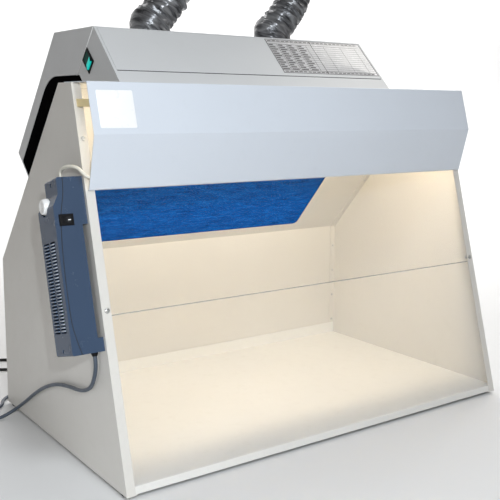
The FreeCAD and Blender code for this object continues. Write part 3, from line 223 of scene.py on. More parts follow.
def ramp(node, factor, stops):
    """A colour ramp over factor, from (position, colour) stops."""
    made = node("ShaderNodeValToRGB", Fac=factor)
    elements = made.color_ramp.elements
    while len(elements) < len(stops):
        elements.new(0.5)
    for element, (position, colour) in zip(elements, stops):
        element.position = position
        element.color = (*colour, 1.0)
    return made.outputs["Color"]


def multiplied(node, first, second):
    """Two colours multiplied."""
    mixed = node("ShaderNodeMix")
    mixed.data_type = "RGBA"
    mixed.blend_type = "MULTIPLY"
    mixed.inputs[0].default_value = 1.0
    mixed.id_data.links.new(first, mixed.inputs[6])
    mixed.id_data.links.new(second, mixed.inputs[7])
    return mixed.outputs[2]


def bumped(node, join, height, strength, distance):
    """Let the surface catch the light as if it rose and fell with a height, by that distance."""
    bump = node("ShaderNodeBump", Height=height, Strength=strength, Distance=distance)
    join(bump.outputs["Normal"], "Normal")


def coated(name, colour, roughness=0.42, cloud=0.04, peel=0.05, peel_size=520.0, marks=0.05,
           metallic=0.0, specular=0.5):
    """A coat: its colour with soft clouds and faint handling marks, over a fine rippled bump."""
    finish, shader, node, join = new_finish(name)
    where = place_on(node)
    broad = noise(node, where, scale=4.5, detail=3.0, roughness=0.6)
    smudge = noise(node, where, scale=38.0, detail=5.0, roughness=0.7)
    dark = tuple(np.array(colour) * (1 - cloud))
    light = tuple(np.clip(np.array(colour) * (1 + cloud), 0, 1))
    base = ramp(node, broad, [(0.3, dark), (0.7, light)])
    wiped, handled = (1.0, 1.0, 1.0), (1 - marks, 1 - 1.1 * marks, 1 - 1.3 * marks)
    grime = ramp(node, smudge, [(0.55, wiped), (0.8, handled)])
    join(multiplied(node, base, grime), "Base Color")
    gloss = node("ShaderNodeMapRange", Value=smudge, From_Min=0.3, From_Max=0.8,
                 To_Min=roughness - 0.05, To_Max=roughness + 0.08)
    join(gloss.outputs["Result"], "Roughness")
    ripple = noise(node, where, scale=peel_size, detail=2.0, roughness=0.5)
    bumped(node, join, ripple, strength=peel, distance=0.0006)
    settle(shader, Metallic=metallic, Specular_IOR_Level=specular)
    return finish


def rounded_copy(node_name, finish, radius, curved=False):
    """A copy of a CAD node that stands for it, with its triangles joined into faces and its edges
    rounded to a radius. One with curved walls is shaded smooth over them."""
    same_place, same_plane, sharp_fold = 1e-6, 0.004, math.radians(32)
    mesh = bpy.data.meshes.new(node_name + "_body")
    work = bmesh.new()
    work.from_mesh(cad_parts[node_name].data)
    bmesh.ops.remove_doubles(work, verts=work.verts, dist=same_place)
    bmesh.ops.dissolve_limit(work, angle_limit=same_plane, verts=work.verts, edges=work.edges)
    work.to_mesh(mesh)
    work.free()
    mesh.polygons.foreach_set("use_smooth", np.full(len(mesh.polygons), curved))
    mesh.materials.append(finish)
    piece = in_scene(node_name + "_body", mesh)
    bevel = piece.modifiers.new("edges", "BEVEL")
    bevel.width = radius
    bevel.segments = 2
    bevel.limit_method = "ANGLE"
    bevel.angle_limit = sharp_fold
    bevel.use_clamp_overlap = True
    if curved:
        piece.modifiers.new("flats", "WEIGHTED_NORMAL").weight = 100
    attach(piece, "cabinet")
    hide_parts(node_name)


def finish_node(node_name, finish):
    """Give a CAD node a better material."""
    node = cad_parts[node_name]
    node.data.materials.clear()
    node.data.materials.append(finish)
    return node


sheet_edge = 0.0004
panel_coat = coated("panel_coat", (0.65, 0.628, 0.588), roughness=0.38, cloud=0.015, marks=0.025)
for name in ("left_side_panel", "right_side_panel", "back_panel", "sloped_rear_panel", "top_plate"):
    rounded_copy(name, panel_coat, sheet_edge)
finish_node("floor_stiffeners", panel_coat)

# The chamber floor: one tray of the same sheet, folded up behind and down in front, and coated
# off-white. Work done on it has left faint wiped rings and scuffs.
tray_coat = coated("tray_coat", (0.735, 0.722, 0.69), roughness=0.4, cloud=0.012, marks=0.04)
rounded_copy("base_tray", tray_coat, sheet_edge)

# Feet: four moulded buttons of matt black rubber under the corners, pushed into holes in the
# bottom flanges.
foot_rubber = coated("foot_rubber", (0.022, 0.022, 0.022), roughness=0.75, peel=0.12)
finish_node("rubber_feet", foot_rubber)

# Rivets: domed blind rivets of slightly dull aluminium, pulled through the inner flanges to hold
# the folded sheets together.
rivet_metal = coated("rivet_metal", (0.50, 0.50, 0.51), roughness=0.42, metallic=1.0, marks=0.2)
finish_node("panel_rivets", rivet_metal)

# The visor: one sheet folded over the top plate, down in a shallow V, and back to the flanges. Its
# coat is a shade bluer and cleaner than the sides'. It is held by a zinc-plated tab at each end.
visor_coat = coated("visor_coat", (0.605, 0.645, 0.705), roughness=0.34, cloud=0.012, marks=0.02)
rounded_copy("front_visor", visor_coat, sheet_edge)
tab_zinc = coated("tab_zinc", (0.95, 0.78, 0.42), roughness=0.45, metallic=0.1, cloud=0.06)
finish_node("visor_tabs", tab_zinc)

# A square of thin white vinyl with rounded corners, stuck on the visor's upper face near its left
# end and left bare.
label_size = (0.0725, 0.0705)
label_corner = 0.003
label_thickness = 0.00025
label_x = -444.5
label_above_fold = 0.047


def rounded_square(width, height, corner):
    """An outline of quarter circles at the four corners of a rectangle, about its middle."""
    quarter = np.linspace(0, math.pi / 2, 6)
    x, y = width / 2 - corner, height / 2 - corner
    corners = ((x, y, 0), (-x, y, math.pi / 2), (-x, -y, math.pi), (x, -y, 1.5 * math.pi))
    return np.concatenate([
        np.stack([x + corner * np.cos(quarter + start), y + corner * np.sin(quarter + start)], -1)
        for x, y, start in corners])


def flat_label(name, outline, origin, right, up, thickness):
    """A thin sheet with that outline, standing off its surface by its thickness. Its upper edge is
    a little smaller, so that it is slightly rounded."""
    edge_share, edge_height = 0.995, 0.7
    right, up = np.array(right), np.array(up)
    out = np.cross(right, up)
    across, upward = outline[:, :1] * right, outline[:, 1:] * up
    flat = np.array(origin) + across + upward
    shrunk = np.array(origin) + edge_share * across + edge_share * upward
    rings = np.stack([flat, flat + edge_height * thickness * out, shrunk + thickness * out])
    return surface(name, rings, closed=True, caps=True)


visor_fold = np.array(place(label_x, 111.9, 636.2))
visor_brow = np.array(place(label_x, 139.3, 730.5))
visor_up = (visor_brow - visor_fold) / np.linalg.norm(visor_brow - visor_fold)
label_middle = visor_fold + label_above_fold * visor_up
vinyl = coated("label_vinyl", (0.86, 0.86, 0.86), roughness=0.3, cloud=0.01, peel=0.02, marks=0.02)
label = flat_label("visor_label", rounded_square(*label_size, label_corner), label_middle,
                   (1, 0, 0), visor_up, label_thickness)
label.data.materials.append(vinyl)
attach(label, "cabinet")

# The clear screen: 5 mm of polished acrylic between the flanges, greenish at its sawn edges, held
# by cross-head pan screws through the flanges with nuts behind. It leans back with the sides.
side_lean, side_height = 197.0, 729.0
lean = math.atan2(side_lean, side_height)
front_out = np.array((0.0, -math.cos(lean), math.sin(lean)))
front_up = np.array((0.0, math.sin(lean), math.cos(lean)))
lip_start, lip_end = 0.0014, 0.0024


def along(node, where, direction):
    """How far a point or an arrow reaches along a direction: their dot product."""
    product = node("ShaderNodeVectorMath", "DOT_PRODUCT", i0=where, i1=tuple(direction))
    return product.outputs["Value"]


acrylic, acrylic_shader, node, join = new_finish("clear_acrylic")
faces_front = along(node, node("ShaderNodeTexCoord").outputs["Normal"], front_out)
squareness = node("ShaderNodeMath", "ABSOLUTE", i0=faces_front).outputs[0]
edge_green, face_green = (0.22, 0.28, 0.27), (0.30, 0.33, 0.33)
join(ramp(node, squareness, [(0.4, edge_green), (0.6, face_green)]), "Base Color")
solidness = node("ShaderNodeMapRange", Value=squareness, From_Min=0.4, From_Max=0.6,
                 To_Min=0.16, To_Max=0.02)
screen_foot = float(np.array(place(0, 84.0, 311.8)) @ front_up)
lip = node("ShaderNodeMapRange", Value=along(node, place_on(node), front_up),
           From_Min=screen_foot + lip_start, From_Max=screen_foot + lip_end, To_Min=0.6, To_Max=0.0)
more_solid = node("ShaderNodeMath", "MAXIMUM", i0=solidness.outputs["Result"], i1=lip.outputs["Result"])
join(more_solid.outputs[0], "Alpha")
settle(acrylic_shader, Roughness=0.04, IOR=1.49)
finish_node("clear_screen", acrylic)
screw_zinc = coated("screw_zinc", (0.55, 0.55, 0.54), roughness=0.32, metallic=1.0, cloud=0.1,
                    marks=0.15)
finish_node("screen_nuts", screw_zinc)

head_radius = 0.005
head_height = 0.003
screw_seats = ((-489.6, 333.6), (489.6, 333.6), (-489.6, 650.0), (489.6, 650.0))


def pan_head(name, seat, right, up, turn):
    """A domed head over a disc, with a cross recess that deepens to its middle. Its height is a
    flattened dome of the radius, less the recess where a turned x or y is near nought."""
    rings, around = 22, 56
    rim_height, recess_depth = 0.30, 0.55
    arm_half, arm_slope, arm_reach, reach_slope = 0.13, 0.05, 0.62, 0.12
    r = np.linspace(0, 1, rings)[:, None]
    a = np.linspace(0, 2 * math.pi, around, endpoint=False)[None, :]
    x, y = r * np.cos(a), r * np.sin(a)
    dome = rim_height + (1 - rim_height) * np.sqrt(np.clip(1 - r ** 2.6, 0, 1))
    turned_x = np.abs(x * math.cos(turn) + y * math.sin(turn))
    turned_y = np.abs(y * math.cos(turn) - x * math.sin(turn))
    arms = np.clip((arm_half - np.minimum(turned_x, turned_y)) / arm_slope, 0, 1)
    recess = arms * np.clip((arm_reach - r) / reach_slope, 0, 1)
    height = head_height * (dome - recess_depth * recess)
    right, up = np.array(right, float), np.array(up, float)
    flat = np.array(seat) + head_radius * (x[..., None] * right + y[..., None] * up)
    top = flat + height[..., None] * np.cross(right, up)
    return surface(name, np.concatenate([top, flat[-1:]]), closed=True, caps=True)


for i, (x, up_front) in enumerate(screw_seats):
    seat = np.array(place(x, 0, 0)) + front_up * up_front / 1000
    screw = pan_head("screen_screw_%d" % i, seat, (1, 0, 0), front_up, 0.4 + 0.7 * i)
    screw.data.materials.append(screw_zinc if i < 2 else panel_coat)
    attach(screw, "cabinet")
    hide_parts("screen_screws")

# The lamp: a fluorescent tube in push-in holders under a white channel, behind the visor. It is lit,
# darker at its two ends, and warms the inside of the chamber. A short cream cable feeds it.
holder_plastic = coated("holder_plastic", (0.80, 0.79, 0.75), roughness=0.3, peel=0.02)
for name in ("lamp_batten", "lamp_holders"):
    finish_node(name, holder_plastic)
lamp_colour = (1.0, 0.825, 0.58)
tube_middle_glow, tube_end_glow = (1.0, 0.86, 0.62), (0.5, 0.42, 0.3)
lamp_glass, lamp_shader, node, join = new_finish("lit_tube")
across = node("ShaderNodeSeparateXYZ", Vector=place_on(node)).outputs["X"]
from_middle = node("ShaderNodeMath", "SUBTRACT", i0=across, i1=place(0, 0, 0)[0]).outputs[0]
distance = node("ShaderNodeMath", "ABSOLUTE", i0=from_middle).outputs[0]
tube_end = node("ShaderNodeMapRange", Value=distance, From_Min=0.40, From_Max=0.44).outputs["Result"]
join(ramp(node, tube_end, [(0.2, tube_middle_glow), (0.9, tube_end_glow)]), "Emission Color")
settle(lamp_shader, Base_Color=(0.9, 0.88, 0.82, 1), Emission_Strength=9.0, Roughness=0.25)
finish_node("lamp_tube", lamp_glass)
soft_light("chamber_lamp", place(0, 162, 668), place(0, 420, 60), 0.03, 2.35, lamp_colour, width=0.86)
cable_sheath = coated("lamp_cable_sheath", (0.66, 0.63, 0.55), roughness=0.45, peel=0.03)
finish_node("lamp_cable", cable_sheath)

# The fan and filter housing: a folded box on the slope, a cover over its back, and a front panel let
# into its window. All are coated like the visor. Pan-head screws hold the cover's lower edge.
folded_edge = 0.0005
housing_coat = coated("housing_coat", (0.58, 0.588, 0.595), roughness=0.36, cloud=0.015, marks=0.02)
for name in ("housing_lower_box", "housing_rear_cover", "housing_front_panel"):
    rounded_copy(name, housing_coat, folded_edge)
finish_node("housing_screws", screw_zinc)

# The housing's joints: a bright strip along the cover's cut edge at both ends is a painted highlight
# where that edge catches light, and a black strip laid in the gap under the front panel is painted
# shade of that gap.
slope_start = np.array(place(0, 256.0, 729.0))
slope_down = np.array((0.0, 0.67211, -0.74045))
slope_out = np.array((0.0, 0.74045, 0.67211))
housing_half = 0.3695
cover_edge_out, cover_edge_over = 0.172, 0.006
seam_half, seam_height = 0.0011, 0.0004
panel_up = np.array((0.0, 0.70843, 0.70578))
panel_out = np.array((0.0, -0.70578, 0.70843))
panel_clearance, gap_up, gap_deep, gap_half = 0.001, 0.0417, 0.0007, 0.3625
strip_half, strip_height = 0.00115, 0.0006


def bead(name, line, side, out, half_width, height):
    """A strip along a line of points. Its section is half an ellipse, half_width each way along side
    and height along out, with its foot let into the surface."""
    a = np.linspace(0, math.pi, 9)[:, None]
    section = np.cos(a) * half_width * np.array(side) + np.sin(a) * height * np.array(out)
    section = np.vstack([section, -0.3 * height * np.array(out)])
    return surface(name, np.array(line)[:, None, :] + section, closed=True, caps=True)


# The bright strip along the cover's edge is a painted highlight.
edge_highlight = coated("edge_highlight", (0.82, 0.82, 0.82), roughness=0.3, cloud=0.01, marks=0.02)
for side, sign, seam_end in (("left", -1.0, 0.1266), ("right", 1.0, 0.5165)):
    seam_start = slope_start + (sign * housing_half, 0.0, 0.0) + cover_edge_out * slope_out
    seam_line = (seam_start - cover_edge_over * slope_down, seam_start + seam_end * slope_down)
    seam = bead("cover_edge_" + side, seam_line, slope_out, (sign, 0, 0), seam_half, seam_height)
    seam.data.materials.append(edge_highlight)
    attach(seam, "cabinet")
front_foot = slope_start + panel_clearance * slope_down
gap_middle = front_foot + gap_up * panel_up - gap_deep * panel_out
# The black strip in the gap under the front panel is painted shade.
gap_shade = coated("gap_shade", (0.012, 0.012, 0.013), roughness=0.6)
strip_line = (gap_middle + (-gap_half, 0, 0), gap_middle + (gap_half, 0, 0))
strip = bead("panel_strip", strip_line, panel_up, panel_out, strip_half, strip_height)
strip.data.materials.append(gap_shade)
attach(strip, "cabinet")

# The filter log on the front panel: a printed film with an empty ruled table, a broad head row, a
# column block on the left and wider columns on the right, with plain bars in its rows.
log_x = (0.064, 0.362)
log_v = (0.052, 0.167)
log_corner, log_thickness, ink_lift = 0.002, 0.0002, 0.00026
log_outline = rounded_square(log_x[1] - log_x[0], log_v[1] - log_v[0], log_corner)
log_middle = front_foot + np.array((sum(log_x) / 2, 0, 0)) + sum(log_v) / 2 * panel_up
log_film = coated("log_film", (0.60, 0.595, 0.60), roughness=0.25, cloud=0.01, peel=0.01, marks=0.02)
log = flat_label("filter_log", log_outline, log_middle, (1, 0, 0), panel_up, log_thickness)
log.data.materials.append(log_film)
left_columns = (0.064, 0.092, 0.120, 0.150, 0.180, 0.198)
right_columns = (0.236, 0.290, 0.338)
rows = np.linspace(log_v[0] + 0.010, log_v[1] - 0.016, 13)
between_rows = (rows[:-1] + rows[1:]) / 2
frame_rule, head_rule, block_rule, column_rule, row_rule = 0.0018, 0.0012, 0.0014, 0.0010, 0.0009
dash_bar, dash_length, dash_step, entry_bar = 0.0028, 0.0105, 0.0135, 0.0034
left, right = log_x[0] + frame_rule / 2, log_x[1] - frame_rule / 2
foot, top = log_v[0] + frame_rule / 2, log_v[1] - frame_rule / 2
level_rules = ((foot, frame_rule), (top, frame_rule), (log_v[1] - 0.009, head_rule),
               (rows[0], block_rule), (rows[-1], block_rule))
rules = [(log_x[0], v, log_x[1], v, width) for v, width in level_rules]
rules += [(x, log_v[0], x, log_v[1], frame_rule) for x in (left, left_columns[-1], right)]
rules += [(x, rows[0], x, rows[-1], column_rule) for x in left_columns[1:-1] + right_columns]
rules += [(log_x[0], v, log_x[1], v, row_rule) for v in rows[1:-1]]
dash_starts = np.arange(log_x[0] + 0.006, log_x[1] - 0.02, dash_step)
rules += [(x, v, x + dash_length, v, dash_bar)
          for v in (log_v[0] + 0.0055, log_v[1] - 0.0052) for x in dash_starts]
rules += [(x + 0.003, v, x + 0.024 - 0.004 * (i % 3), v, entry_bar)
          for x in left_columns[:4] for i, v in enumerate(between_rows)]


def ruled_lines(name, lines, origin, right, up, lift):
    """Thin bars on a surface, each from (x, v) to (x, v) at its width, lifted off it."""
    ends = np.array(lines)
    start, end, width = ends[:, :2], ends[:, 2:4], ends[:, 4:]
    ahead = (end - start) / np.linalg.norm(end - start, axis=1)[:, None]
    beside = np.stack([-ahead[:, 1], ahead[:, 0]], -1) * width / 2
    flat = np.stack([start - beside, end - beside, end + beside, start + beside], 1).reshape(-1, 2)
    right, up = np.array(right, float), np.array(up, float)
    points = np.array(origin) + flat[:, :1] * right + flat[:, 1:] * up + lift * np.cross(right, up)
    return mesh_piece(name, points, np.arange(len(points)).reshape(-1, 4).tolist(), smooth=False)


log_lines = ruled_lines("filter_log_rules", rules, front_foot, (1, 0, 0), panel_up, ink_lift)
log_ink = coated("log_ink", (0.035, 0.028, 0.030), roughness=0.5, cloud=0.1, marks=0.0)
log_lines.data.materials.append(log_ink)
for piece in (log, log_lines):
    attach(piece, "cabinet")

# The cassette: a black moulded case full of carbon grains, slid into the housing from its left end.
# Under it, a folded metal frame keeps the edges of the fibre pad.
cassette_plastic = coated("cassette_plastic", (0.003, 0.003, 0.0035), roughness=0.6, peel=0.15,
                          peel_size=900.0, specular=0.0)
moulded_edge = 0.0012
rounded_copy("filter_cassette", cassette_plastic, moulded_edge, curved=True)
carbon_grains, carbon_shader, node, join = new_finish("carbon_grains")
grain = node("ShaderNodeTexVoronoi", Vector=place_on(node), Scale=420.0).outputs["Distance"]
join(ramp(node, grain, [(0.1, (0.03, 0.03, 0.032)), (0.6, (0.006, 0.006, 0.006))]), "Base Color")
bumped(node, join, grain, strength=0.8, distance=0.002)
settle(carbon_shader, Roughness=0.6)
finish_node("carbon_core", carbon_grains)
frame_metal = coated("filter_frame_metal", (0.62, 0.62, 0.63), roughness=0.35, metallic=1.0)
finish_node("prefilter_frame", frame_metal)

# The pad: a mat of blue lofted fibre over the opening in the slope, about 19 mm thick. It lies loose in
# its frame, thinner at its cut edges, and its fibres run across the cabinet. Its upper part is painted
# darker, as the shade that the visor casts on it.
pad_along = (0.1225, 0.5065)
pad_half = 0.3445
pad_out = (0.0004, 0.0194)
pad_rows, pad_columns = 90, 140
edge_band, lower_lift, lower_curl, upper_sink, upper_curl = 0.02, 0.0010, 0.0008, 0.0016, 0.003


def fibre_height(x, y):
    """Lofted fibre: a few waves of different size and direction, added up."""
    lengthwise = np.sin(61 * x + 3 * np.sin(23 * y))
    crosswise = np.sin(83 * y + 2 * np.sin(31 * x))
    return 0.0005 * (lengthwise + crosswise + 0.6 * np.sin(190 * x - 140 * y))


def slope_grid(x, s, out):
    """Points at x across, s down the slope and out from it."""
    across = np.stack([x, np.zeros_like(x), np.zeros_like(x)], -1)
    return slope_start + across + s[..., None] * slope_down + out[..., None] * slope_out


u, v = np.meshgrid(np.linspace(-1, 1, pad_columns), np.linspace(-1, 1, pad_rows), indexing="xy")
pad_x = u * pad_half
pad_s = (pad_along[0] + pad_along[1]) / 2 + v * (pad_along[1] - pad_along[0]) / 2
inside = np.clip(np.minimum(1 - np.abs(u), (1 - np.abs(v)) * 0.6) / edge_band, 0, 1) ** 0.5
lower_waves = fibre_height(pad_x, pad_s) * 0.6 * inside
upper_waves = fibre_height(pad_x + 0.4, pad_s) * inside
under = pad_out[0] + lower_lift + lower_curl * (1 - inside) + lower_waves
over = pad_out[1] - upper_sink - upper_curl * (1 - inside) + upper_waves
pad_count = pad_rows * pad_columns
rim = np.concatenate([
    np.arange(pad_columns), pad_columns * np.arange(1, pad_rows) + pad_columns - 1,
    pad_columns * (pad_rows - 1) + np.arange(pad_columns - 2, -1, -1),
    pad_columns * np.arange(pad_rows - 2, 0, -1)])
after = np.roll(rim, -1)
pad_vertices = np.concatenate([
    slope_grid(pad_x, pad_s, under).reshape(-1, 3), slope_grid(pad_x, pad_s, over).reshape(-1, 3)])
quads = grid_faces(pad_rows, pad_columns)
walls = np.stack([rim, after, after + pad_count, rim + pad_count], -1)
pad_faces = np.concatenate([quads, quads[:, ::-1] + pad_count, walls[:, ::-1]])
pad = mesh_piece("filter_pad", pad_vertices, pad_faces.tolist())
work = bmesh.new()
work.from_mesh(pad.data)
bmesh.ops.recalc_face_normals(work, faces=work.faces)
work.to_mesh(pad.data)
work.free()
pad_fibre, pad_shader, node, join = new_finish("blue_fibre")
where = place_on(node)
streaks = node("ShaderNodeMapping", Vector=where, Scale=(22.0, 120.0, 120.0)).outputs["Vector"]
fibres = noise(node, streaks, scale=1.0, detail=7.0, roughness=0.72)
tufts = noise(node, where, scale=240.0, detail=4.0, roughness=0.6)
both = node("ShaderNodeMath", "ADD", i0=fibres, i1=tufts).outputs[0]
loft = node("ShaderNodeMath", "MULTIPLY", i0=both, i1=0.5).outputs[0]
deep_blue, mid_blue, light_blue = (0.0005, 0.032, 0.15), (0.001, 0.085, 0.41), (0.006, 0.18, 0.70)
mat = ramp(node, loft, [(0.36, deep_blue), (0.5, mid_blue), (0.64, light_blue)])
pad_start = float(slope_start @ slope_down)
down_pad = node("ShaderNodeMapRange", Value=along(node, where, slope_down),
                From_Min=pad_start + 0.30, From_Max=pad_start + 0.40).outputs["Result"]
# The pad's upper part is painted darker: painted shade from the visor.
visor_shade = ramp(node, down_pad, [(0.0, (0.62, 0.68, 0.66)), (1.0, (1.0, 1.0, 1.0))])
join(multiplied(node, mat, visor_shade), "Base Color")
bumped(node, join, loft, strength=0.7, distance=0.002)
settle(pad_shader, Roughness=0.95, Specular_IOR_Level=0.0)
pad.data.materials.append(pad_fibre)
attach(pad, "cabinet")
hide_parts("prefilter_pad")

# Two centrifugal fans stand on the cassette: a moulded shroud, a motor on three arms and a wheel on
# its shaft. A metal spigot takes the air up through the housing's level top.
fan_plastic = coated("fan_plastic", (0.028, 0.028, 0.031), roughness=0.4, peel=0.1)
motor_metal = coated("motor_metal", (0.42, 0.42, 0.43), roughness=0.45, metallic=1.0)
spigot_metal = coated("spigot_metal", (0.60, 0.61, 0.62), roughness=0.35, metallic=1.0)
band_metal = coated("band_metal", (0.56, 0.56, 0.57), roughness=0.28, metallic=1.0)
for side in ("left", "right"):
    finish_node("fan_shroud_" + side, fan_plastic)
    finish_node("fan_impeller_" + side, fan_plastic)
    finish_node("fan_motor_" + side, motor_metal)
    finish_node("duct_spigot_" + side, spigot_metal)
    finish_node("hose_clamp_" + side, band_metal)

# Exhaust hoses: thin grey film over a spring-wire spiral, crumpled where they lean off their
# spigots, and pushed into a moulded cuff that the ceiling's ducts take.
hose_radius = 0.045
hose_seed = 11
film_thickness = 0.0008
hose_film_finish, film_shader, node, join = new_finish("hose_film")
flattened = node("ShaderNodeMapping", Vector=place_on(node), Rotation=(0.0, 0.6, 0.0),
                 Scale=(0.04, 0.04, 0.0095))
flattened.vector_type = "TEXTURE"
folds = noise(node, flattened.outputs["Vector"], scale=1.0, detail=3.0, roughness=0.5, Distortion=0.6)
# The film's colour follows its folds: painted shade in the creases and a painted highlight on the
# ridges.
crease_shade, film_grey, ridge_highlight = (0.045, 0.046, 0.050), (0.17, 0.173, 0.182), (0.30, 0.305, 0.315)
join(ramp(node, folds, [(0.36, crease_shade), (0.5, film_grey), (0.66, ridge_highlight)]), "Base Color")
bumped(node, join, folds, strength=0.8, distance=0.006)
settle(film_shader, Roughness=0.28, Metallic=0.6)
hose_route = (
    (0, 0, 0), (0, 0, 14), (24, -2, 48), (60, -2, 90), (86, 4, 142), (108, 12, 210), (124, 20, 290),
    (140, 27, 375), (148, 31, 448), (151, 32, 518))


def route_curve(name, points, steps):
    """A curve with one NURBS spline of order 3 whose control points are the route's, drawn with
    that many steps between them."""
    curve = bpy.data.curves.new(name, "CURVE")
    curve.dimensions = "3D"
    curve.resolution_u = steps
    spline = curve.splines.new("NURBS")
    spline.points.add(len(points) - 1)
    spline.points.foreach_set("co", np.column_stack([points, np.ones(len(points))]).ravel())
    spline.order_u = 3
    spline.use_endpoint_u = True
    return curve


def smooth_line(name, points):
    """The points along a route's NURBS spline."""
    line = bpy.data.objects.new(name, route_curve(name, points, 14))
    mesh = bpy.data.meshes.new_from_object(line)
    found = np.empty(len(mesh.vertices) * 3)
    mesh.vertices.foreach_get("co", found)
    bpy.data.objects.remove(line)
    return found.reshape(-1, 3)


def even_steps(line, count):
    """The same line at even steps of its length, and its length."""
    reach = np.concatenate([[0], np.cumsum(np.linalg.norm(np.diff(line, axis=0), axis=1))])
    at = np.linspace(0, reach[-1], count)
    return np.stack([np.interp(at, reach, line[:, k]) for k in range(3)], -1), reach[-1]


def crumpled_hose(name, line, radius, grip, seed):
    """A tube round a line. Its radius is full along the turns of a wavering helix and sags between
    them, less the depth of a creased sheet, which is the lowest of a few waves that cross it. Over
    its first stretch, the grip, it lies on its spigot, and above that it puffs out to the left."""
    steps, around, full_turn = 420, 96, 6.28
    spring_pitch, cross_pitch, sag_depth, crease_depth = 0.0185, 0.037, 0.0066, 0.0040
    film_inset, puff_round, puff_left, puff_reach = 0.0004, 0.0030, 0.0055, 0.026
    puff_start, puff_end, puff_fade = 0.012, 0.16, 0.10
    centre, length = even_steps(line, steps)
    ahead = np.gradient(centre, axis=0)
    ahead /= np.linalg.norm(ahead, axis=1)[:, None]
    side = np.cross(ahead, (0.0, 1.0, 0.0))
    side /= np.linalg.norm(side, axis=1)[:, None]
    back = np.cross(ahead, side)
    a = np.linspace(0, 2 * math.pi, around, endpoint=False)[None, :]
    t = np.linspace(0, length, steps)[:, None]
    rng = np.random.default_rng(seed)
    waver = sum(
        rng.uniform(0.3, 0.8) * np.sin(k * a + rng.uniform(8, 26) * t + rng.uniform(0, full_turn))
        for k in (1, 1, 2))
    turn = 2 * math.pi * t / spring_pitch + a + 1.2 * waver
    cross = 4 * a - 2 * math.pi * t / cross_pitch + rng.uniform(0, full_turn) + 1.5 * waver
    sag = np.abs(np.sin(turn / 2)) * (0.7 + 0.3 * np.sin(cross))
    folds = ((3, 150), (-2, 210), (5, -190), (-4, 270), (6, 120))
    waves = [
        np.sin(k * a + w * t + rng.uniform(0, full_turn) + 1.3 * np.sin(rng.uniform(20, 45) * t + a))
        for k, w in folds]
    creased = 0.5 - 0.5 * np.minimum.reduce(waves)
    loose = np.clip((t - grip) / 0.010, 0.34, 1) * np.clip((length - t) / 0.006, 0, 1)
    lean_side = np.exp(-((t - grip) / puff_reach) ** 2) * np.clip(np.cos(a), 0, 1)
    fade = np.clip(t / puff_start, 0, 1) * np.exp(-np.clip(t - puff_end, 0, None) / puff_fade)
    puff = (puff_round + puff_left * lean_side) * fade
    r = radius - film_inset + puff - loose * (sag_depth * sag + crease_depth * creased)
    outward = np.cos(a)[..., None] * side[:, None, :] + np.sin(a)[..., None] * back[:, None, :]
    return surface(name, centre[:, None, :] + r[..., None] * outward, closed=True), centre, length


cuff_plastic = coated("cuff_plastic", (0.26, 0.26, 0.27), roughness=0.45)
for seed, side in enumerate(("left", "right"), hose_seed):
    spigot_low, spigot_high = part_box("duct_spigot_" + side)
    hose_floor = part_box("exhaust_hose_" + side)[0][2]
    spigot_foot = np.array([*((np.array(spigot_low) + np.array(spigot_high)) / 2)[:2], hose_floor])
    route = spigot_foot + np.array(hose_route) / 1000.0
    route_line = smooth_line("hose_route_" + side, route)
    hose, hose_line, hose_length = crumpled_hose(
        "hose_film_" + side, route_line, hose_radius, spigot_high[2] - hose_floor, seed)
    hose.data.materials.append(hose_film_finish)
    film = hose.modifiers.new("film", "SOLIDIFY")
    film.thickness = film_thickness
    film.offset = -1.0
    cuff = finish_node("hose_cuff_" + side, cuff_plastic)
    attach(hose, "cabinet")
    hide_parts("exhaust_hose_" + side)

# The lamp's control box: two halves of glossy blue-grey moulded plastic on the left side panel,
# screwed together over the ballast board and the dimmer. The split between them shows as a fine
# dark groove down the front, and a white knob sits in a scooped seat.
case_plastic = coated("case_plastic", (0.044, 0.070, 0.120), roughness=0.24, cloud=0.03, marks=0.0,
                      specular=0.4)
finish_node("control_box_base", case_plastic)
finish_node("control_box_cover", case_plastic)
box_front = 8.0
groove_half, groove_height = 0.0008, 0.00025
split_line = (
    (-537.9, 582.5), (-537.9, 557.5), (-549.9, 515.5), (-555.9, 442.5), (-556.9, 342.6),
    (-553.9, 300.6), (-543.4, 262.6))
split_points = [
    np.array(place(x, 0, 0)) + front_up * s / 1000 - front_out * box_front / 1000
    for x, s in split_line]
split_groove = bead("split_groove", smooth_line("split_route", split_points), (1, 0, 0), front_out,
                    groove_half, groove_height)
groove_shadow = coated("groove_shadow", (0.010, 0.014, 0.022), roughness=0.7, peel=0.0, marks=0.0)
split_groove.data.materials.append(groove_shadow)
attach(split_groove, "cabinet")

# The cover's air slots: two columns of them, moulded through its outer side. The ribs between them
# stand slightly proud of it and are glossy, and their colour is painted much lighter than the case's as
# a highlight, the front column's more than the rear one's.
rib_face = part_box("control_box_cover")[0][0]
slot_rows = 28
slot_pitch = 6.0
rib_middle = 302.6
rib_half_width, rib_height = 0.0012, 0.0006
# The ribs' lighter colours are painted highlights, brighter in the front column.
slot_columns = ((24.0, 43.0, (0.42, 0.48, 0.58)), (52.0, 74.0, (0.15, 0.20, 0.29)))
for column, (near, far, colour) in enumerate(slot_columns):
    rib_highlight = coated("rib_gloss_%d" % column, colour, roughness=0.2, cloud=0.03, peel=0.0, marks=0.0)
    for row in range(1, slot_rows):
        rib_at = np.array(place(0, 0, 0)) + front_up * (rib_middle + slot_pitch * row) / 1000
        rib_at[0] = rib_face
        ends = [rib_at - front_out * depth / 1000 for depth in (near, far)]
        rib = bead("grille_rib_%d_%d" % (column, row), ends, front_up, (-1, 0, 0),
                   rib_half_width, rib_height)
        rib.data.materials.append(rib_highlight)
        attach(rib, "cabinet")

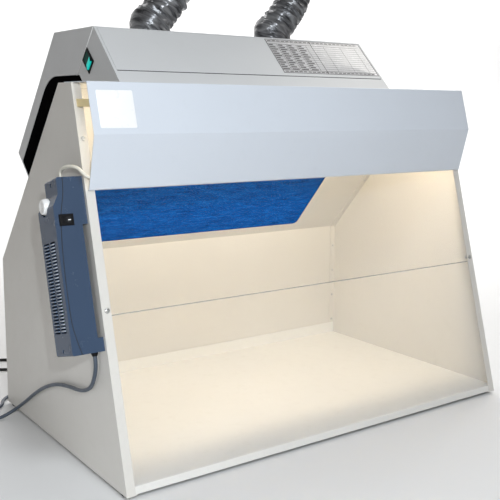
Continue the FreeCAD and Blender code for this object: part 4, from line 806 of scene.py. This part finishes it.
# What the box holds and what closes it: zinc-plated case screws, the ballast's resin board, the
# dimmer in its metal can, and the white moulded knob pressed on the dimmer's shaft.
finish_node("control_box_screws", screw_zinc)
board_resin = coated("board_resin", (0.03, 0.12, 0.05), roughness=0.4)
finish_node("lamp_ballast", board_resin)
finish_node("dimmer_control", motor_metal)
knob_plastic = coated("knob_plastic", (0.88, 0.88, 0.87), roughness=0.3, peel=0.02, marks=0.04)
finish_node("dimmer_knob", knob_plastic)

# The power rocker in the housing's left end: a tinted lens snapped into a black bezel. Part of the lens
# is painted bright teal and made to glow as a painted glint, and the rest is painted dark green as its
# shaded facet, with black between and around them. The lamp rocker's bezel and the lead's gland are of
# the same black.
switch_plastic = coated("switch_plastic", (0.006, 0.006, 0.007), roughness=0.5, peel=0.02,
                        specular=0.15)
for name in ("lamp_rocker_bezel", "power_rocker_bezel", "lamp_lead_gland"):
    finish_node(name, switch_plastic)
black, white = (0.0, 0.0, 0.0), (1.0, 1.0, 1.0)
# The lens's teal part, which also glows, is a painted glint, and its dark green part painted shade.
shade_green, glint_teal = (0.0005, 0.022, 0.016), (0.008, 0.46, 0.40)
lens_half_out, lens_half_along = 0.0190, 0.0150
lens_across = [(0.04, black), (0.07, glint_teal), (0.44, glint_teal), (0.48, black), (0.54, shade_green)]
lens_along = [(0.08, black), (0.16, white), (0.84, white), (0.92, black)]


def stretch(node, where, middle, direction, half, stops):
    """A colour ramp along one direction, over half each way of the middle."""
    centre = float(middle @ direction)
    part = node("ShaderNodeMapRange", Value=along(node, where, direction),
                From_Min=centre - half, From_Max=centre + half)
    return ramp(node, part.outputs["Result"], stops)


def middle_of(node_name):
    """The middle of a CAD node's box."""
    low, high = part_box(node_name)
    return (np.array(low) + np.array(high)) / 2


rocker_lens, rocker_shader, node, join = new_finish("rocker_lens")
where, lens_middle = place_on(node), middle_of("power_rocker")
across_lens = stretch(node, where, lens_middle, slope_out, lens_half_out, lens_across)
along_lens = stretch(node, where, lens_middle, slope_down, lens_half_along, lens_along)
lens_glint = multiplied(node, across_lens, along_lens)
join(lens_glint, "Base Color")
join(lens_glint, "Emission Color")
settle(rocker_shader, Emission_Strength=0.7, Roughness=0.4, Specular_IOR_Level=0.1)
finish_node("power_rocker", rocker_lens)

# The lamp's rocker: black moulded plastic, pivoted in the bezel that stands in the box's split line,
# with a plain white bar printed on the end that is pressed to switch it on.
mark_offset = (0.0052, 0, 0)
mark_half_width, mark_half_height = 0.0028, 0.0009
rocker_black, mark_white = (0.006, 0.006, 0.007), (0.75, 0.75, 0.74)
bar = [(0.0, black), (0.10, white), (0.90, white), (1.0, black)]
marked_rocker, marked_shader, node, join = new_finish("marked_rocker")
where, mark_middle = place_on(node), middle_of("lamp_rocker") + mark_offset
across_mark = stretch(node, where, mark_middle, np.array((1.0, 0.0, 0.0)), mark_half_width, bar)
up_mark = stretch(node, where, mark_middle, front_up, mark_half_height, bar)
mark = multiplied(node, across_mark, up_mark)
join(ramp(node, mark, [(0.3, rocker_black), (0.7, mark_white)]), "Base Color")
settle(marked_shader, Roughness=0.5, Specular_IOR_Level=0.15)
finish_node("lamp_rocker", marked_rocker)

# The lamp's lead: a round grey flex from the box's foot, down the side panel to the bench, out past
# the corner and round behind the cabinet, where the spare length lies in a flat coil by its plug.
lead_diameter = 0.0075
coil_turns = 2
bench_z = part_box("rubber_feet")[0][2]


def flex(name, points, diameter):
    """A round cord on a NURBS spline of order 3 whose control points are the route's."""
    curve = route_curve(name, points, 10)
    curve.bevel_depth = diameter / 2
    curve.bevel_resolution = 5
    curve.use_fill_caps = True
    return in_scene(name, curve)


def coil_points(start, side, diameter, turns, floor):
    """A flat coil of two rings side by side, wound so many turns low and as many high, from start.
    It goes round by equal angles, its radius and height moving over smoothly between turns."""
    per_turn, across, ring_lift = 16, 11.0, 0.95
    radius = across * diameter / 2
    angle = np.linspace(0, 2 * math.pi * 2 * turns, per_turn * 2 * turns + 1)
    turn = angle / (2 * math.pi)

    def eased(x):
        """0 up to 0, 1 from 1, and 3 x squared less 2 x cubed between them."""
        x = np.clip(x, 0, 1)
        return x ** 2 * (3 - 2 * x)

    inward = np.where(turn < turns, 1 - 2 * eased(turn - 0.6), -1 + 2 * eased(turn - turns - 0.6))
    ring = radius + 0.5 * diameter * inward
    height = floor + diameter / 2 + ring_lift * diameter * eased((turn - turns + 0.35) / 0.7)
    x = start[0] + ring * np.sin(angle)
    y = start[1] + side * radius - side * ring * np.cos(angle)
    return np.stack([x, y, height], -1)


def put_away(name, route, side, diameter, finish, node_name):
    """A lead along its route, wound into its coil, with its tail in the plug."""
    line = np.array([place(*p) for p in route])
    wound = coil_points(line[-1], side, diameter, coil_turns, bench_z)
    tail = wound[-1] + np.array([[0.012, 0, 0], [0.024, 0, 0], [0.040, 0, 0]])
    tail[:, 2] = bench_z + 1.5 * diameter
    whole = np.concatenate([line[:-1], wound, tail])
    cord = flex(name, whole, diameter)
    cord.data.materials.append(finish)
    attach(cord, "cabinet")
    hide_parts(node_name, node_name + "_coil")
    reach = smooth_line(name + "_line", whole)
    plug = finish_node(node_name + "_plug", finish)


lamp_lead_route = [
    (-514.0, 90.03, 240.52), (-514.0, 86.37, 227.0), (-513, 94, 202), (-511, 117, 172),
    (-510, 162, 153), (-509, 228, 145), (-509, 290, 132), (-510, 350, 109), (-509, 412, 77),
    (-508, 470, 42), (-515, 512, 14), (-546, 518, -2.25), (-590, 508, -2.25), (-628, 522, -2.25),
    (-634, 556, -2.25), (-602, 574, -2.25), (-556, 568, -2.25), (-521, 590, -2.25),
    (-506, 632, -2.25), (-470, 657, -2.25), (-426, 660, -2.25), (-386, 656, -2.25)]
lead_grey = coated("lead_grey", (0.060, 0.078, 0.105), roughness=0.40, peel=0.03)
put_away("lamp_flex", lamp_lead_route, 1, lead_diameter, lead_grey, "lamp_lead")

# The mains lead: black flex from the housing's lower end, down to the bench behind the cabinet, out
# in a loose loop and back into its coil.
mains_diameter = 0.007
mains_lead_route = [
    (-300.0, 705.6, 411.7), (-300, 732.6, 381.7), (-302, 760, 340), (-306, 772, 260), (-312, 782, 180),
    (-321, 798, 104), (-334, 828, 44), (-352, 872, 10), (-374, 920, -2.5), (-404, 948, -2.5),
    (-438, 944, -2.5), (-458, 915, -2.5), (-452, 880, -2.5), (-424, 852, -2.5), (-382, 840, -2.5),
    (-340, 836, -2.5), (-302, 836, -2.5)]
mains_black = coated("mains_black", (0.02, 0.02, 0.021), roughness=0.4, peel=0.03)
finish_node("mains_lead_gland", mains_black)
put_away("mains_flex", mains_lead_route, -1, mains_diameter, mains_black, "mains_lead")
